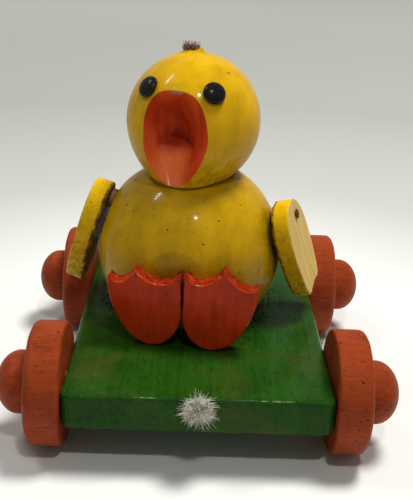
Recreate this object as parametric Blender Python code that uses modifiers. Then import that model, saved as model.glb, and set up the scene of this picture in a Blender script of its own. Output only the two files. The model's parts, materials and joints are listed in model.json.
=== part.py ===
"""Pull-along duck toy: a painted wooden duck screwed to a green board on four wheels.

The duck looks along -Y and +Z is up. The origin lies on the floor, under the middle of the whole toy.
Left and right are the duck's own sides, so its left side is at +X.
"""
import math

import bmesh
import bpy
from mathutils import Matrix, Vector

MM = 0.001  # sizes below are in millimetres

# Gap left between pieces that touch, and running clearance round an axle or a pivot
TOUCH = 0.3
RUNNING = 0.45

# Board
BOARD_WIDTH = 84.4
BOARD_LENGTH = 116.0
BOARD_THICKNESS = 12.7
BOARD_EDGE_ROUNDING = 1.2

# Wheels, axles and hub caps
WHEEL_DIAMETER = 40.0
WHEEL_THICKNESS = 10.9
WHEEL_OUTER_ROUNDING = 2.2
WHEEL_INNER_ROUNDING = 1.0
WHEELBASE = 82.0
AXLE_DIAMETER = 8.0
HUB_DIAMETER = 20.5
HUB_RIM_HEIGHT = 3.4
HUB_DOME_HEIGHT = 7.6
AXLE_REACH_INTO_HUB = 6.0

# Duck's place on the board, from the board's middle, and the turns towards the duck's right
DUCK_TO_RIGHT = 4.4
DUCK_BACK = 10.0
DUCK_TURN = 8.0
HEAD_TURN = 8.0

# Body: a turned ball, flat below, where the head sits and at the wings and feet
BODY_RADIUS = 32.8
BODY_CENTRE_HEIGHT = 21.6
NECK_SEAT_DIAMETER = 30.65
FEET_FLAT_DEPTH = 1.3

# Head: a turned ball with a swelling round the mouth
HEAD_RADIUS = 23.0
HEAD_CENTRE_ABOVE_SEAT = 18.0
MUZZLE_SWELL = 3.4
MUZZLE_SPREAD = 34.0
MUZZLE_DROP = 44.0
CHIN_CLEARANCE = 0.6
NECK_DOWEL_DIAMETER = 8.0
NECK_DOWEL_DEPTH = 10.0

# Mouth: an opening with a blunt top and a rounder tip, carved down to a level throat edge
MOUTH_HALF_ANGLE = 28.0
MOUTH_TOP_ANGLE = 36.0
MOUTH_BOTTOM_ANGLE = 45.5
MOUTH_MIDDLE_ANGLE = -3.0
MOUTH_TOP_BLUNTNESS = 3.0
MOUTH_TIP_BLUNTNESS = 1.9
MOUTH_TOP_TO_RIGHT_ANGLE = 3.0
MOUTH_TIP_TO_RIGHT_ANGLE = 3.6
THROAT_WIDTH = 12.0
THROAT_DEPTH = 13.5
THROAT_RISE = -6.4
THROAT_TO_RIGHT = 3.3
MOUTH_CUTTER_REACH = 1.8

# Eyes: domed nails
EYE_DIAMETER = 7.5
EYE_DOME_HEIGHT = 2.2
EYE_RIM_HEIGHT = 0.3
EYE_SPREAD_ANGLE = 35.0
EYE_RISE_ANGLE = 34.5
EYE_SHANK_DIAMETER = 2.0
EYE_SHANK_LENGTH = 8.0

# Wings: flat oval boards, each on one nail; the left one has lost its tip
WING_THICKNESS = 6.35
WING_WIDTH = 22.0
WING_WIDEST_BELOW_TOP = 15.2
WING_WIDEST_ABOVE_TIP = 24.4
WING_BLUNTNESS = 2.2
WING_EDGE_ROUNDING = 0.6
WING_TILT = 17.0
LEFT_WING_TOE = 12.0
RIGHT_WING_TOE = -0.5
LEFT_WING_SWING = 12.0
RIGHT_WING_SWING = 0.0
LEFT_WING_FLAT_DEPTH = 1.0
RIGHT_WING_FLAT_DEPTH = 1.9
NAIL_BELOW_WING_TOP = 5.8
NAIL_BEHIND_WING_MIDDLE = 2.0
LEFT_NAIL_ABOVE_FLAT_CENTRE = 4.9
LEFT_NAIL_BEHIND_FLAT_CENTRE = 5.7
RIGHT_NAIL_ABOVE_FLAT_CENTRE = 6.6
RIGHT_NAIL_BEHIND_FLAT_CENTRE = 0.85
LEFT_WING_BROKEN_BELOW_NAIL = 29.0
WASHER_DIAMETER = 7.0
WASHER_THICKNESS = 1.6
NAIL_HEAD_DIAMETER = 3.4
NAIL_HEAD_HEIGHT = 0.7
NAIL_HEAD_RIM_SHARE = 0.4
NAIL_SHANK_DIAMETER = 1.8
NAIL_LENGTH_IN_BODY = 9.0

# Feet: two webbed plates standing on their heels
FOOT_WIDTH = 24.3
FOOT_THICKNESS = 6.0
FOOT_OUTER_TOE_HEIGHT = 23.7
FOOT_OUTER_SIDE_RISE = 20.5
FOOT_INNER_SIDE_RISE = 16.0
FOOT_HEEL_INWARD = 2.5
FOOT_INNER_TOE_HEIGHT = 26.4
LEFT_FOOT_MIDDLE_TOE_HEIGHT = 29.4
LEFT_FOOT_MIDDLE_TOE_ACROSS = 12.9
RIGHT_FOOT_MIDDLE_TOE_HEIGHT = 27.2
RIGHT_FOOT_MIDDLE_TOE_ACROSS = 15.2
FOOT_INNER_WEB_DIP = 4.2
FOOT_OUTER_WEB_DIP = 3.0
FOOT_EDGE_ROUNDING = 0.5
FEET_GAP = 1.0
FEET_TO_LEFT = 3.3
FOOT_PIN_DIAMETER = 4.0
FOOT_PIN_SIDE = 7.5
FOOT_PIN_HEIGHT = 20.0
FOOT_PIN_IN_FOOT = 4.0
FOOT_PIN_IN_BODY = 9.0

# Screw that holds the duck to the board
SCREW_DIAMETER = 4.0
SCREW_HEAD_DIAMETER = 8.0
SCREW_HEAD_HEIGHT = 3.0
SCREW_LENGTH_IN_BODY = 20.0

# Pull cord's frayed end, glued into the board's front
CORD_DIAMETER = 3.6
CORD_DEPTH = 9.0
TUFT_WIDTH = 13.6
TUFT_HEIGHT = 12.8
TUFT_LENGTH = 6.0
TUFT_FLARE_UP = 0.8
TUFT_ROUGHNESS = 0.25
CORD_HOLE_ABOVE_MIDDLE = 2.4

# Broken crest on the head's top
CREST_WIDTH = 5.4
CREST_THICKNESS = 3.8
CREST_HEIGHT = 3.4
CREST_PEG_DIAMETER = 2.4
CREST_PEG_LENGTH = 6.0
CREST_TO_RIGHT = 1.8

# Worked out from the sizes above
AXLE_HEIGHT = WHEEL_DIAMETER / 2
BOARD_TOP = AXLE_HEIGHT + BOARD_THICKNESS / 2
FRONT_REACH = max(BOARD_LENGTH / 2 + TOUCH + TUFT_LENGTH, WHEELBASE / 2 + WHEEL_DIAMETER / 2)
REAR_REACH = max(BOARD_LENGTH / 2, WHEELBASE / 2 + WHEEL_DIAMETER / 2)
BOARD_MIDDLE = (FRONT_REACH - REAR_REACH) / 2
BOARD_FRONT = BOARD_MIDDLE - BOARD_LENGTH / 2
NECK_SEAT_HEIGHT = BODY_CENTRE_HEIGHT + math.sqrt(BODY_RADIUS ** 2 - (NECK_SEAT_DIAMETER / 2) ** 2)
FEET_FLAT_FORWARD = BODY_RADIUS - FEET_FLAT_DEPTH
WHEEL_INNER_FACE = BOARD_WIDTH / 2 + TOUCH
WHEEL_OUTER_FACE = WHEEL_INNER_FACE + WHEEL_THICKNESS
HUB_FACE = WHEEL_OUTER_FACE + TOUCH
AXLE_END = HUB_FACE + AXLE_REACH_INTO_HUB

for old in list(bpy.data.objects):
    bpy.data.objects.remove(old, do_unlink=True)

parts = bpy.data.collections.new("pull_along_duck")
cutters = bpy.data.collections.new("cutters")
bpy.context.scene.collection.children.link(parts)
bpy.context.scene.collection.children.link(cutters)


def paint(name, colour, roughness, metallic=0.0):
    """A plain surface finish; colour is in linear light."""
    material = bpy.data.materials.new(name)
    material.use_nodes = True
    shader = material.node_tree.nodes["Principled BSDF"]
    shader.inputs["Base Color"].default_value = (*colour, 1.0)
    shader.inputs["Roughness"].default_value = roughness
    shader.inputs["Metallic"].default_value = metallic
    material.diffuse_color = (*colour, 1.0)
    return material


GREEN = paint("green_paint", (0.03, 0.11, 0.012), 0.4)
WHEEL_RED = paint("wheel_red_paint", (0.33, 0.065, 0.02), 0.45)
HUB_RED = paint("hub_red_paint", (0.34, 0.06, 0.018), 0.4)
YELLOW = paint("yellow_paint", (0.68, 0.42, 0.01), 0.3)
HEAD_YELLOW = paint("head_yellow_paint", (0.72, 0.45, 0.01), 0.3)
WING_YELLOW = paint("wing_worn_yellow_paint", (0.55, 0.38, 0.08), 0.45)
FOOT_RED = paint("foot_red_paint", (0.3, 0.035, 0.012), 0.35)
BLACK = paint("black_enamel", (0.01, 0.009, 0.009), 0.15)
BARE_WOOD = paint("bare_beech", (0.45, 0.3, 0.16), 0.6)
STEEL = paint("dull_steel", (0.35, 0.33, 0.3), 0.45, 1.0)
RUSTY = paint("rusty_nail", (0.16, 0.08, 0.04), 0.7)
COTTON = paint("off_white_cotton", (0.45, 0.4, 0.33), 0.9)
CREST_FIBRE = paint("brown_crest_fibre", (0.16, 0.12, 0.08), 0.9)


IN_PLACE = Matrix.Identity(4)


def put(name, mesh, material=None, matrix=IN_PLACE, parent=None, home=None):
    """Links a mesh as a named object; its place is its own location and rotation."""
    thing = bpy.data.objects.new(name, mesh)
    (home or parts).objects.link(thing)
    if material is not None:
        mesh.materials.append(material)
    thing.parent = parent
    thing.matrix_local = matrix
    return thing


def mesh_from(bm, name, smooth=True):
    mesh = bpy.data.meshes.new(name)
    bm.to_mesh(mesh)
    bm.free()
    if smooth:
        mesh.shade_smooth()
        mesh.set_sharp_from_angle(angle=math.radians(35))
    return mesh


def joint_empty(name, matrix, parent=None):
    """An empty whose origin and axes are a joint's."""
    empty = bpy.data.objects.new(name, None)
    empty.empty_display_size = 5 * MM
    parts.objects.link(empty)
    empty.parent = parent
    empty.matrix_local = matrix
    return empty


def at(x, y, z):
    return Matrix.Translation(Vector((x, y, z)) * MM)


def turned(name, profile, material, steps, matrix=IN_PLACE, parent=None, closed=False, home=None):
    """A lathe-turned piece about its own Z axis: (radius, height) pairs, outer side top to bottom.

    An open profile starts and ends on the axis; a closed one goes round a bore.
    """
    bm = bmesh.new()
    points = [bm.verts.new((radius * MM, 0, height * MM)) for radius, height in profile]
    for first, second in zip(points, points[1:]):
        bm.edges.new((first, second))
    if closed:
        bm.edges.new((points[-1], points[0]))
    thing = put(name, mesh_from(bm, name, smooth=False), material, matrix, parent, home)
    screw = thing.modifiers.new("lathe", "SCREW")
    screw.axis = "Z"
    screw.angle = math.tau
    screw.steps = steps
    screw.render_steps = steps
    screw.use_merge_vertices = True
    screw.merge_threshold = 0.00001
    screw.use_smooth_shade = True
    return thing


def arc(centre, radius, start, end, count):
    """Points on an arc; angles in degrees, anticlockwise from the first axis."""
    step = (end - start) / (count - 1)
    angles = [math.radians(start + step * index) for index in range(count)]
    return [(centre[0] + radius * math.cos(a), centre[1] + radius * math.sin(a)) for a in angles]


def plate(name, outline, thickness, material, matrix, parent, edge_rounding):
    """A flat board cut to an outline in its own XY plane, centred on Z = 0, with rounded edges."""
    curve = bpy.data.curves.new(name + "_outline", "CURVE")
    curve.dimensions = "2D"
    curve.fill_mode = "BOTH"
    curve.extrude = thickness * MM / 2
    spline = curve.splines.new("POLY")
    spline.points.add(len(outline) - 1)
    for point, (x, y) in zip(spline.points, outline):
        point.co = (x * MM, y * MM, 0, 1)
    spline.use_cyclic_u = True
    guide = bpy.data.objects.new(name + "_outline", curve)
    cutters.objects.link(guide)
    bpy.context.view_layer.update()
    depsgraph = bpy.context.evaluated_depsgraph_get()
    solid = bpy.data.meshes.new_from_object(guide.evaluated_get(depsgraph))
    bpy.data.objects.remove(guide)
    bpy.data.curves.remove(curve)
    bm = bmesh.new()
    bm.from_mesh(solid)
    bpy.data.meshes.remove(solid)
    bmesh.ops.remove_doubles(bm, verts=bm.verts, dist=0.00001)
    bmesh.ops.dissolve_limit(bm, angle_limit=math.radians(1), verts=bm.verts, edges=bm.edges)
    bmesh.ops.recalc_face_normals(bm, faces=bm.faces)
    thing = put(name, mesh_from(bm, name), material, matrix, parent)
    bevel = thing.modifiers.new("worn_edge", "BEVEL")
    bevel.width = edge_rounding * MM
    bevel.segments = 2
    bevel.limit_method = "ANGLE"
    bevel.angle_limit = math.radians(50)
    return thing


def cut(target, cutter, operation="DIFFERENCE"):
    cutter.hide_render = True
    cutter.display_type = "WIRE"
    step = target.modifiers.new(cutter.name, "BOOLEAN")
    step.operation = operation
    step.solver = "EXACT"
    step.object = cutter


def bore(target, name, diameter, bottom, top, matrix=IN_PLACE, parent=None, steps=16):
    """Drills a round hole along the matrix's own Z axis, from bottom to top."""
    radius = diameter / 2
    profile = [(0, top), (radius, top), (radius, bottom), (0, bottom)]
    cut(target, turned(name, profile, None, steps, matrix, parent, home=cutters))


def saw_off(target, name, normal, distance, centre=(0, 0, 0), parent=None):
    """Saws away all beyond a flat that lies a distance along its normal from a centre."""
    size = 120 * MM
    bm = bmesh.new()
    bmesh.ops.create_cube(bm, size=size)
    turn = Vector(normal).to_track_quat("Z", "Y").to_matrix().to_4x4()
    place = at(*centre) @ turn @ at(0, 0, distance) @ Matrix.Translation((0, 0, size / 2))
    cut(target, put(name, mesh_from(bm, name, smooth=False), None, place, parent, cutters))


def box_block(name, size, material, matrix):
    bm = bmesh.new()
    bmesh.ops.create_cube(bm, size=1.0, matrix=Matrix.Diagonal([side * MM for side in size]).to_4x4())
    return put(name, mesh_from(bm, name, smooth=False), material, matrix)


def direction(azimuth, elevation):
    """Unit vector; azimuth 0 looks forward along -Y and grows towards +X."""
    a = math.radians(azimuth)
    e = math.radians(elevation)
    return Vector((math.cos(e) * math.sin(a), -math.cos(e) * math.cos(a), math.sin(e)))


def aim(centre, outward):
    """A place at the centre with its own Z axis along outward."""
    return at(*centre) @ outward.to_track_quat("Z", "Y").to_matrix().to_4x4()


def make_board():
    size = (BOARD_WIDTH, BOARD_LENGTH, BOARD_THICKNESS)
    board = box_block("base_board", size, GREEN, at(0, BOARD_MIDDLE, AXLE_HEIGHT))
    bevel = board.modifiers.new("rounded_edges", "BEVEL")
    bevel.width = BOARD_EDGE_ROUNDING * MM
    bevel.segments = 2
    return board


def make_axle(board, end_name, y):
    """A dowel through the board, with a wheel and a pressed hub cap at each end."""
    along_x = at(0, y, AXLE_HEIGHT) @ Matrix.Rotation(math.radians(90), 4, "Y")
    radius = AXLE_DIAMETER / 2
    profile = [(0, AXLE_END), (radius, AXLE_END), (radius, -AXLE_END), (0, -AXLE_END)]
    turned(end_name + "_axle", profile, BARE_WOOD, 20, along_x)
    bore_diameter = AXLE_DIAMETER + 2 * TOUCH
    bore(board, end_name + "_axle_bore", bore_diameter, -BOARD_WIDTH, BOARD_WIDTH, along_x, steps=20)
    for side_name, side in (("left", 1), ("right", -1)):
        outward = at(0, y, AXLE_HEIGHT) @ Matrix.Rotation(math.radians(90 * side), 4, "Y")
        name = end_name + "_" + side_name
        spin = joint_empty(name + "_wheel_spin", outward @ at(0, 0, WHEEL_INNER_FACE))
        make_wheel(name + "_wheel", spin)
        make_hub(name + "_hub_cap", outward @ at(0, 0, HUB_FACE))


def make_wheel(name, spin):
    radius = WHEEL_DIAMETER / 2
    hole = AXLE_DIAMETER / 2 + RUNNING
    outer = WHEEL_OUTER_ROUNDING
    inner = WHEEL_INNER_ROUNDING
    profile = [(hole, WHEEL_THICKNESS)]
    profile += reversed(arc((radius - outer, WHEEL_THICKNESS - outer), outer, 0, 90, 4))
    profile += reversed(arc((radius - inner, inner), inner, -90, 0, 3))
    profile += [(hole, 0)]
    turned(name, profile, WHEEL_RED, 40, parent=spin, closed=True)


def make_hub(name, matrix):
    """A cap with a short straight rim and a domed face, drilled from behind for the axle's end."""
    radius = HUB_DIAMETER / 2
    hole = AXLE_DIAMETER / 2 + TOUCH
    depth = AXLE_REACH_INTO_HUB + TOUCH
    angles = [math.radians(90 - 15 * index) for index in range(7)]
    profile = [(radius * math.cos(a), HUB_RIM_HEIGHT + HUB_DOME_HEIGHT * math.sin(a)) for a in angles]
    profile[0] = (0, HUB_RIM_HEIGHT + HUB_DOME_HEIGHT)
    profile += [(radius, 0), (hole, 0), (hole, depth), (0, depth)]
    turned(name, profile, HUB_RED, 28, matrix)


def make_body(duck):
    bm = bmesh.new()
    bmesh.ops.create_uvsphere(bm, u_segments=44, v_segments=26, radius=BODY_RADIUS * MM)
    centre = (0, 0, BODY_CENTRE_HEIGHT)
    body = put("duck_body", mesh_from(bm, "duck_body"), YELLOW, at(*centre), duck)
    saw_off(body, "body_underside", (0, 0, -1), -TOUCH, parent=duck)
    saw_off(body, "body_neck_seat", (0, 0, 1), NECK_SEAT_HEIGHT, parent=duck)
    saw_off(body, "body_feet_flat", (0, -1, 0), FEET_FLAT_FORWARD, parent=duck)
    return body


def head_surface(towards):
    """Distance in mm from the head's centre to its skin in a direction."""
    muzzle = direction(0, -MUZZLE_DROP)
    away = math.degrees(towards.angle(muzzle))
    return HEAD_RADIUS + MUZZLE_SWELL * math.exp(-((away / MUZZLE_SPREAD) ** 2))


def make_head(neck):
    """The head's origin is its centre, above the neck's turning axis."""
    bm = bmesh.new()
    bmesh.ops.create_uvsphere(bm, u_segments=48, v_segments=30, radius=1.0)
    for vert in bm.verts:
        towards = vert.co.normalized()
        vert.co = towards * head_surface(towards) * MM
    rise = HEAD_CENTRE_ABOVE_SEAT
    head = put("head", mesh_from(bm, "head"), HEAD_YELLOW, at(0, 0, rise), neck)
    fit_to_shoulders(head, neck)
    carve_mouth(head, neck, rise)
    return head


def fit_to_shoulders(head, neck):
    """Cuts the head flat where it sits, and hollow round the body's shoulders under the chin."""
    radius = BODY_RADIUS + CHIN_CLEARANCE
    top = TOUCH
    drop = NECK_SEAT_HEIGHT - BODY_CENTRE_HEIGHT
    start = math.degrees(math.asin((drop + top) / radius))
    profile = [(0, top)] + list(reversed(arc((0, -drop), radius, 0, start, 12))) + [(0, -drop)]
    cut(head, turned("shoulder_cutter", profile, None, 44, parent=neck, home=cutters))


def rounded_box_point(turn, bluntness):
    """A point of a unit circle that swells towards a square as its bluntness grows above 2."""
    across = math.cos(turn)
    up = math.sin(turn)
    power = 2 / bluntness
    return math.copysign(abs(across) ** power, across), math.copysign(abs(up) ** power, up)


def carve_mouth(head, neck, rise):
    """Cuts the hull of the level throat edge and the mouth's outline, drawn just outside the head."""
    count = 28
    throat_forward = THROAT_DEPTH - HEAD_RADIUS
    bm = bmesh.new()
    for index in range(count):
        turn = math.tau * (index + 0.5) / count
        height = MOUTH_TOP_ANGLE - MOUTH_MIDDLE_ANGLE
        bluntness = MOUTH_TOP_BLUNTNESS
        to_right = MOUTH_TOP_TO_RIGHT_ANGLE
        if turn > math.pi:
            height = MOUTH_BOTTOM_ANGLE + MOUTH_MIDDLE_ANGLE
            bluntness = MOUTH_TIP_BLUNTNESS
            to_right = MOUTH_TIP_TO_RIGHT_ANGLE
        across, up = rounded_box_point(turn, bluntness)
        azimuth = MOUTH_HALF_ANGLE * across - to_right * abs(up)
        elevation = MOUTH_MIDDLE_ANGLE + height * up
        towards = direction(azimuth, elevation)
        skin = towards * head_surface(towards)
        throat = Vector((0, throat_forward, THROAT_RISE))
        throat.x = max(-THROAT_WIDTH / 2, min(THROAT_WIDTH / 2, skin.x)) - THROAT_TO_RIGHT
        bm.verts.new((throat + (skin - throat) * MOUTH_CUTTER_REACH) * MM)
    bm.verts.new(Vector((0, -HEAD_RADIUS * MOUTH_CUTTER_REACH, 0)) * MM)
    for side in (-1, 1):
        corner = Vector((side * THROAT_WIDTH / 2 - THROAT_TO_RIGHT, throat_forward, THROAT_RISE))
        bm.verts.new(corner * MM)
    hull = bmesh.ops.convex_hull(bm, input=bm.verts)
    loose = [item for item in hull["geom_interior"] if isinstance(item, bmesh.types.BMVert)]
    bmesh.ops.delete(bm, geom=loose, context="VERTS")
    bmesh.ops.recalc_face_normals(bm, faces=bm.faces)
    mesh = mesh_from(bm, "mouth_cutter", smooth=False)
    cut(head, put("mouth_cutter", mesh, None, at(0, 0, rise), neck, cutters))


def make_neck_dowel(body, head, neck):
    """A dowel across the seat: glued in the body, loose in the head, so that the head turns on it."""
    radius = NECK_DOWEL_DIAMETER / 2
    top = NECK_DOWEL_DEPTH
    profile = [(0, top), (radius, top), (radius, -top), (0, -top)]
    turned("neck_dowel", profile, BARE_WOOD, 20, parent=neck)
    deeper = top + TOUCH
    bore(body, "neck_bore_in_body", NECK_DOWEL_DIAMETER + 2 * TOUCH, -deeper, deeper, parent=neck, steps=20)
    loose = NECK_DOWEL_DIAMETER + 2 * RUNNING
    bore(head, "neck_bore_in_head", loose, -deeper, deeper, parent=neck, steps=20)


def make_eye(name, head, neck, side):
    """A nail with a wide domed head, driven in so that its rim rests on the skin."""
    towards = direction(side * EYE_SPREAD_ANGLE, EYE_RISE_ANGLE)
    rise = HEAD_CENTRE_ABOVE_SEAT
    skin = Vector((0, 0, rise)) + towards * head_surface(towards)
    place = aim(skin, towards)
    radius = EYE_DIAMETER / 2
    shank = EYE_SHANK_DIAMETER / 2
    angles = [math.radians(90 - 18 * index) for index in range(6)]
    rim = TOUCH + EYE_RIM_HEIGHT
    dome = EYE_DOME_HEIGHT - EYE_RIM_HEIGHT
    profile = [(radius * math.cos(a), rim + dome * math.sin(a)) for a in angles]
    profile[0] = (0, TOUCH + EYE_DOME_HEIGHT)
    profile += [(radius, TOUCH), (shank, TOUCH), (shank, -EYE_SHANK_LENGTH), (0, -EYE_SHANK_LENGTH)]
    turned(name, profile, BLACK, 24, place, neck)
    deeper = EYE_SHANK_LENGTH + TOUCH
    bore(head, name + "_hole", EYE_SHANK_DIAMETER + 2 * TOUCH, -deeper, 2 * TOUCH, place, neck, steps=12)


def wing_outline(side):
    """An oval with a blunter top; the nail is at the origin, behind the middle and near the top."""
    count = 40
    points = []
    for index in range(count):
        turn = math.tau * (index + 0.5) / count
        across, up = rounded_box_point(turn, WING_BLUNTNESS)
        reach = WING_WIDEST_BELOW_TOP if up > 0 else WING_WIDEST_ABOVE_TIP
        widest = NAIL_BELOW_WING_TOP - WING_WIDEST_BELOW_TOP
        points.append((across * WING_WIDTH / 2 - side * NAIL_BEHIND_WING_MIDDLE, widest + up * reach))
    return points


def make_washer(name, pivot):
    """A thin turned washer that holds the wing off the body, so that it swings freely."""
    hole = NAIL_SHANK_DIAMETER / 2 + RUNNING
    radius = WASHER_DIAMETER / 2
    top = TOUCH + WASHER_THICKNESS
    profile = [(hole, top), (radius, top), (radius, TOUCH), (hole, TOUCH)]
    turned(name, profile, BARE_WOOD, 20, pivot.matrix_local.copy(), pivot.parent, closed=True)


def make_wing(name, body, duck, side, toe, swing, flat_depth, nail_above, nail_behind):
    """The wing's own Z axis points out of the duck, along the nail that it swings on."""
    normal = direction(side * (90 - toe), WING_TILT)
    centre = (0, 0, BODY_CENTRE_HEIGHT)
    flat = BODY_RADIUS - flat_depth
    saw_off(body, name + "_flat", normal, flat, centre, duck)
    along = Vector((0, 0, 1)).cross(normal).normalized()
    upward = normal.cross(along).normalized()
    frame = Matrix((along, upward, normal)).transposed().to_4x4()
    seat = Vector(centre) + normal * flat + upward * nail_above + along * side * nail_behind
    pivot = joint_empty(name + "_swing", at(*seat) @ frame, duck)
    washer_gap = TOUCH
    inner_face = TOUCH + WASHER_THICKNESS + washer_gap
    outer_face = inner_face + WING_THICKNESS
    middle = (inner_face + outer_face) / 2
    lean = Matrix.Rotation(math.radians(side * swing), 4, "Z")
    place = at(0, 0, middle) @ lean
    outline = wing_outline(side)
    wing = plate(name, outline, WING_THICKNESS, WING_YELLOW, place, pivot, WING_EDGE_ROUNDING)
    make_washer(name + "_washer", pivot)
    loose = NAIL_SHANK_DIAMETER + 2 * RUNNING
    bore(wing, name + "_hole", loose, -1, outer_face + 1, parent=pivot, steps=12)
    deep = -NAIL_LENGTH_IN_BODY - TOUCH
    bore(body, name + "_nail_hole", NAIL_SHANK_DIAMETER + 2 * TOUCH, deep, 1, parent=pivot, steps=12)
    radius = NAIL_HEAD_DIAMETER / 2
    shank = NAIL_SHANK_DIAMETER / 2
    under = outer_face + TOUCH
    dome = [math.radians(90 - 22.5 * index) for index in range(4)]
    rim = NAIL_HEAD_RIM_SHARE
    rises = [(math.cos(a), rim + (1 - rim) * math.sin(a)) for a in dome]
    profile = [(radius * across, under + NAIL_HEAD_HEIGHT * rise) for across, rise in rises]
    profile[0] = (0, under + NAIL_HEAD_HEIGHT)
    tip = -NAIL_LENGTH_IN_BODY
    profile += [(radius, under), (shank, under), (shank, tip), (0, tip)]
    turned(name + "_nail", profile, RUSTY, 12, pivot.matrix_local.copy(), duck)
    return wing


def break_tip(wing, below_nail):
    """Takes off the wing's tip, square across its length."""
    saw_off(wing, wing.name + "_broken_tip", (0, -1, 0), below_nail, parent=wing)


def foot_outline(side, toe_across, toe_height):
    """Seen from in front: a round heel, straight-ish sides and three toes with two hollow webs."""
    half = FOOT_WIDTH / 2
    inner_toe = (-half, FOOT_INNER_TOE_HEIGHT)
    middle_toe = (-half + toe_across, toe_height)
    outer_toe = (half, FOOT_OUTER_TOE_HEIGHT)
    points = []
    for across, up in arc((0, 0), 1.0, 180, 360, 17):
        lean = FOOT_HEEL_INWARD * up
        rise = FOOT_OUTER_SIDE_RISE if across > 0 else FOOT_INNER_SIDE_RISE
        points.append((half * across + lean, rise * (1 + up)))
    points += [outer_toe]
    points += web(outer_toe, middle_toe, FOOT_OUTER_WEB_DIP)
    points += [middle_toe]
    points += web(middle_toe, inner_toe, FOOT_INNER_WEB_DIP)
    points += [inner_toe]
    return [(side * x, y) for x, y in points]


def web(start, end, dip):
    """The hollow between two toes: a sagging curve, lower than the straight line by dip."""
    points = []
    for index in range(1, 7):
        share = index / 7
        sag = dip * math.sin(math.pi * share) ** 0.7
        x = start[0] + (end[0] - start[0]) * share
        points.append((x, start[1] + (end[1] - start[1]) * share - sag))
    return points


def make_foot(name, body, duck, side, toe_across, toe_height):
    across = side * (FOOT_WIDTH + FEET_GAP) / 2 + FEET_TO_LEFT
    back = FEET_FLAT_FORWARD + TOUCH
    middle = back + FOOT_THICKNESS / 2
    upright = Matrix.Rotation(math.radians(90), 4, "X")
    place = at(across, -middle, TOUCH) @ upright
    outline = foot_outline(side, toe_across, toe_height)
    foot = plate(name, outline, FOOT_THICKNESS, FOOT_RED, place, duck, FOOT_EDGE_ROUNDING)
    pin_place = at(side * FOOT_PIN_SIDE, -back, FOOT_PIN_HEIGHT) @ upright
    radius = FOOT_PIN_DIAMETER / 2
    front = FOOT_PIN_IN_FOOT
    rear = -FOOT_PIN_IN_BODY
    profile = [(0, front), (radius, front), (radius, rear), (0, rear)]
    turned(name + "_pin", profile, BARE_WOOD, 16, pin_place, duck)
    wide = FOOT_PIN_DIAMETER + 2 * TOUCH
    bore(foot, name + "_pin_bore", wide, -1, FOOT_PIN_IN_FOOT + TOUCH, pin_place, duck)
    bore(body, name + "_body_bore", wide, -FOOT_PIN_IN_BODY - TOUCH, 1, pin_place, duck)


def make_screw(board, body, duck):
    """A countersunk wood screw, up through the board into the body, on the duck's axis."""
    shank = SCREW_DIAMETER / 2
    head = SCREW_HEAD_DIAMETER / 2
    low = -BOARD_THICKNESS + TOUCH
    neck = low + SCREW_HEAD_HEIGHT
    tip = SCREW_LENGTH_IN_BODY
    profile = [(0, tip), (shank, tip - 2 * shank), (shank, neck), (head, low), (0, low)]
    turned("body_screw", profile, STEEL, 16, parent=duck)
    gap = TOUCH * 1.5
    wide = shank + gap
    under = low - 1
    hole = [(0, 1), (wide, 1), (wide, neck + gap), (head + gap, low), (head + gap, under), (0, under)]
    cut(board, turned("screw_hole", hole, None, 16, parent=duck, home=cutters))
    bore(body, "screw_pilot", SCREW_DIAMETER + 2 * TOUCH, -1, tip + TOUCH, parent=duck)


def tuft(bm, middle, size, roughness):
    """A closed rough ball of short fibres that just fills a box of the given size."""
    bmesh.ops.create_icosphere(bm, subdivisions=2, radius=1.0)
    for index, vert in enumerate(bm.verts):
        vert.co *= 1 - roughness * (0.5 + 0.5 * math.sin(index * 2.4) * math.cos(index * 1.7))
    for axis in range(3):
        low = min(vert.co[axis] for vert in bm.verts)
        high = max(vert.co[axis] for vert in bm.verts)
        for vert in bm.verts:
            share = (vert.co[axis] - low) / (high - low) - 0.5
            vert.co[axis] = (middle[axis] + share * size[axis]) * MM


def make_cord_stub(board):
    """What is left of the pull cord: a frayed end that stands out of a hole in the board's front."""
    height = AXLE_HEIGHT + CORD_HOLE_ABOVE_MIDDLE
    place = at(0, BOARD_FRONT, height)
    bm = bmesh.new()
    middle = (0, -TOUCH - TUFT_LENGTH / 2, TUFT_FLARE_UP)
    tuft(bm, middle, (TUFT_WIDTH, TUFT_LENGTH, TUFT_HEIGHT), TUFT_ROUGHNESS)
    cord = put("pull_cord_stub", mesh_from(bm, "pull_cord_stub"), COTTON, place)
    inward = place @ Matrix.Rotation(math.radians(-90), 4, "X")
    radius = CORD_DIAMETER / 2
    inside = -TOUCH - TUFT_LENGTH / 2
    stem = [(0, CORD_DEPTH), (radius, CORD_DEPTH), (radius, inside), (0, inside)]
    cut(cord, turned("cord_stem", stem, None, 12, inward, home=cutters), "UNION")
    bore(board, "cord_hole", CORD_DIAMETER + 2 * TOUCH, -1, CORD_DEPTH + TOUCH, inward, steps=12)


def make_crest(head, neck):
    """The stub of a broken crest, glued into a small hole in the head's top."""
    skin = math.sqrt(head_surface(Vector((0, 0, 1))) ** 2 - CREST_TO_RIGHT ** 2)
    place = at(-CREST_TO_RIGHT, 0, HEAD_CENTRE_ABOVE_SEAT + skin)
    bm = bmesh.new()
    size = (CREST_WIDTH, CREST_THICKNESS, CREST_HEIGHT)
    tuft(bm, (0, 0, TOUCH + CREST_HEIGHT / 2), size, TUFT_ROUGHNESS)
    crest = put("crest_stub", mesh_from(bm, "crest_stub"), CREST_FIBRE, place, neck)
    radius = CREST_PEG_DIAMETER / 2
    high = TOUCH + CREST_HEIGHT / 2
    low = -CREST_PEG_LENGTH
    peg = [(0, high), (radius, high), (radius, low), (0, low)]
    cut(crest, turned("crest_peg", peg, None, 10, place, neck, home=cutters), "UNION")
    bore(head, "crest_hole", CREST_PEG_DIAMETER + 2 * TOUCH, low - TOUCH, 1, place, neck, steps=10)


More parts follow.
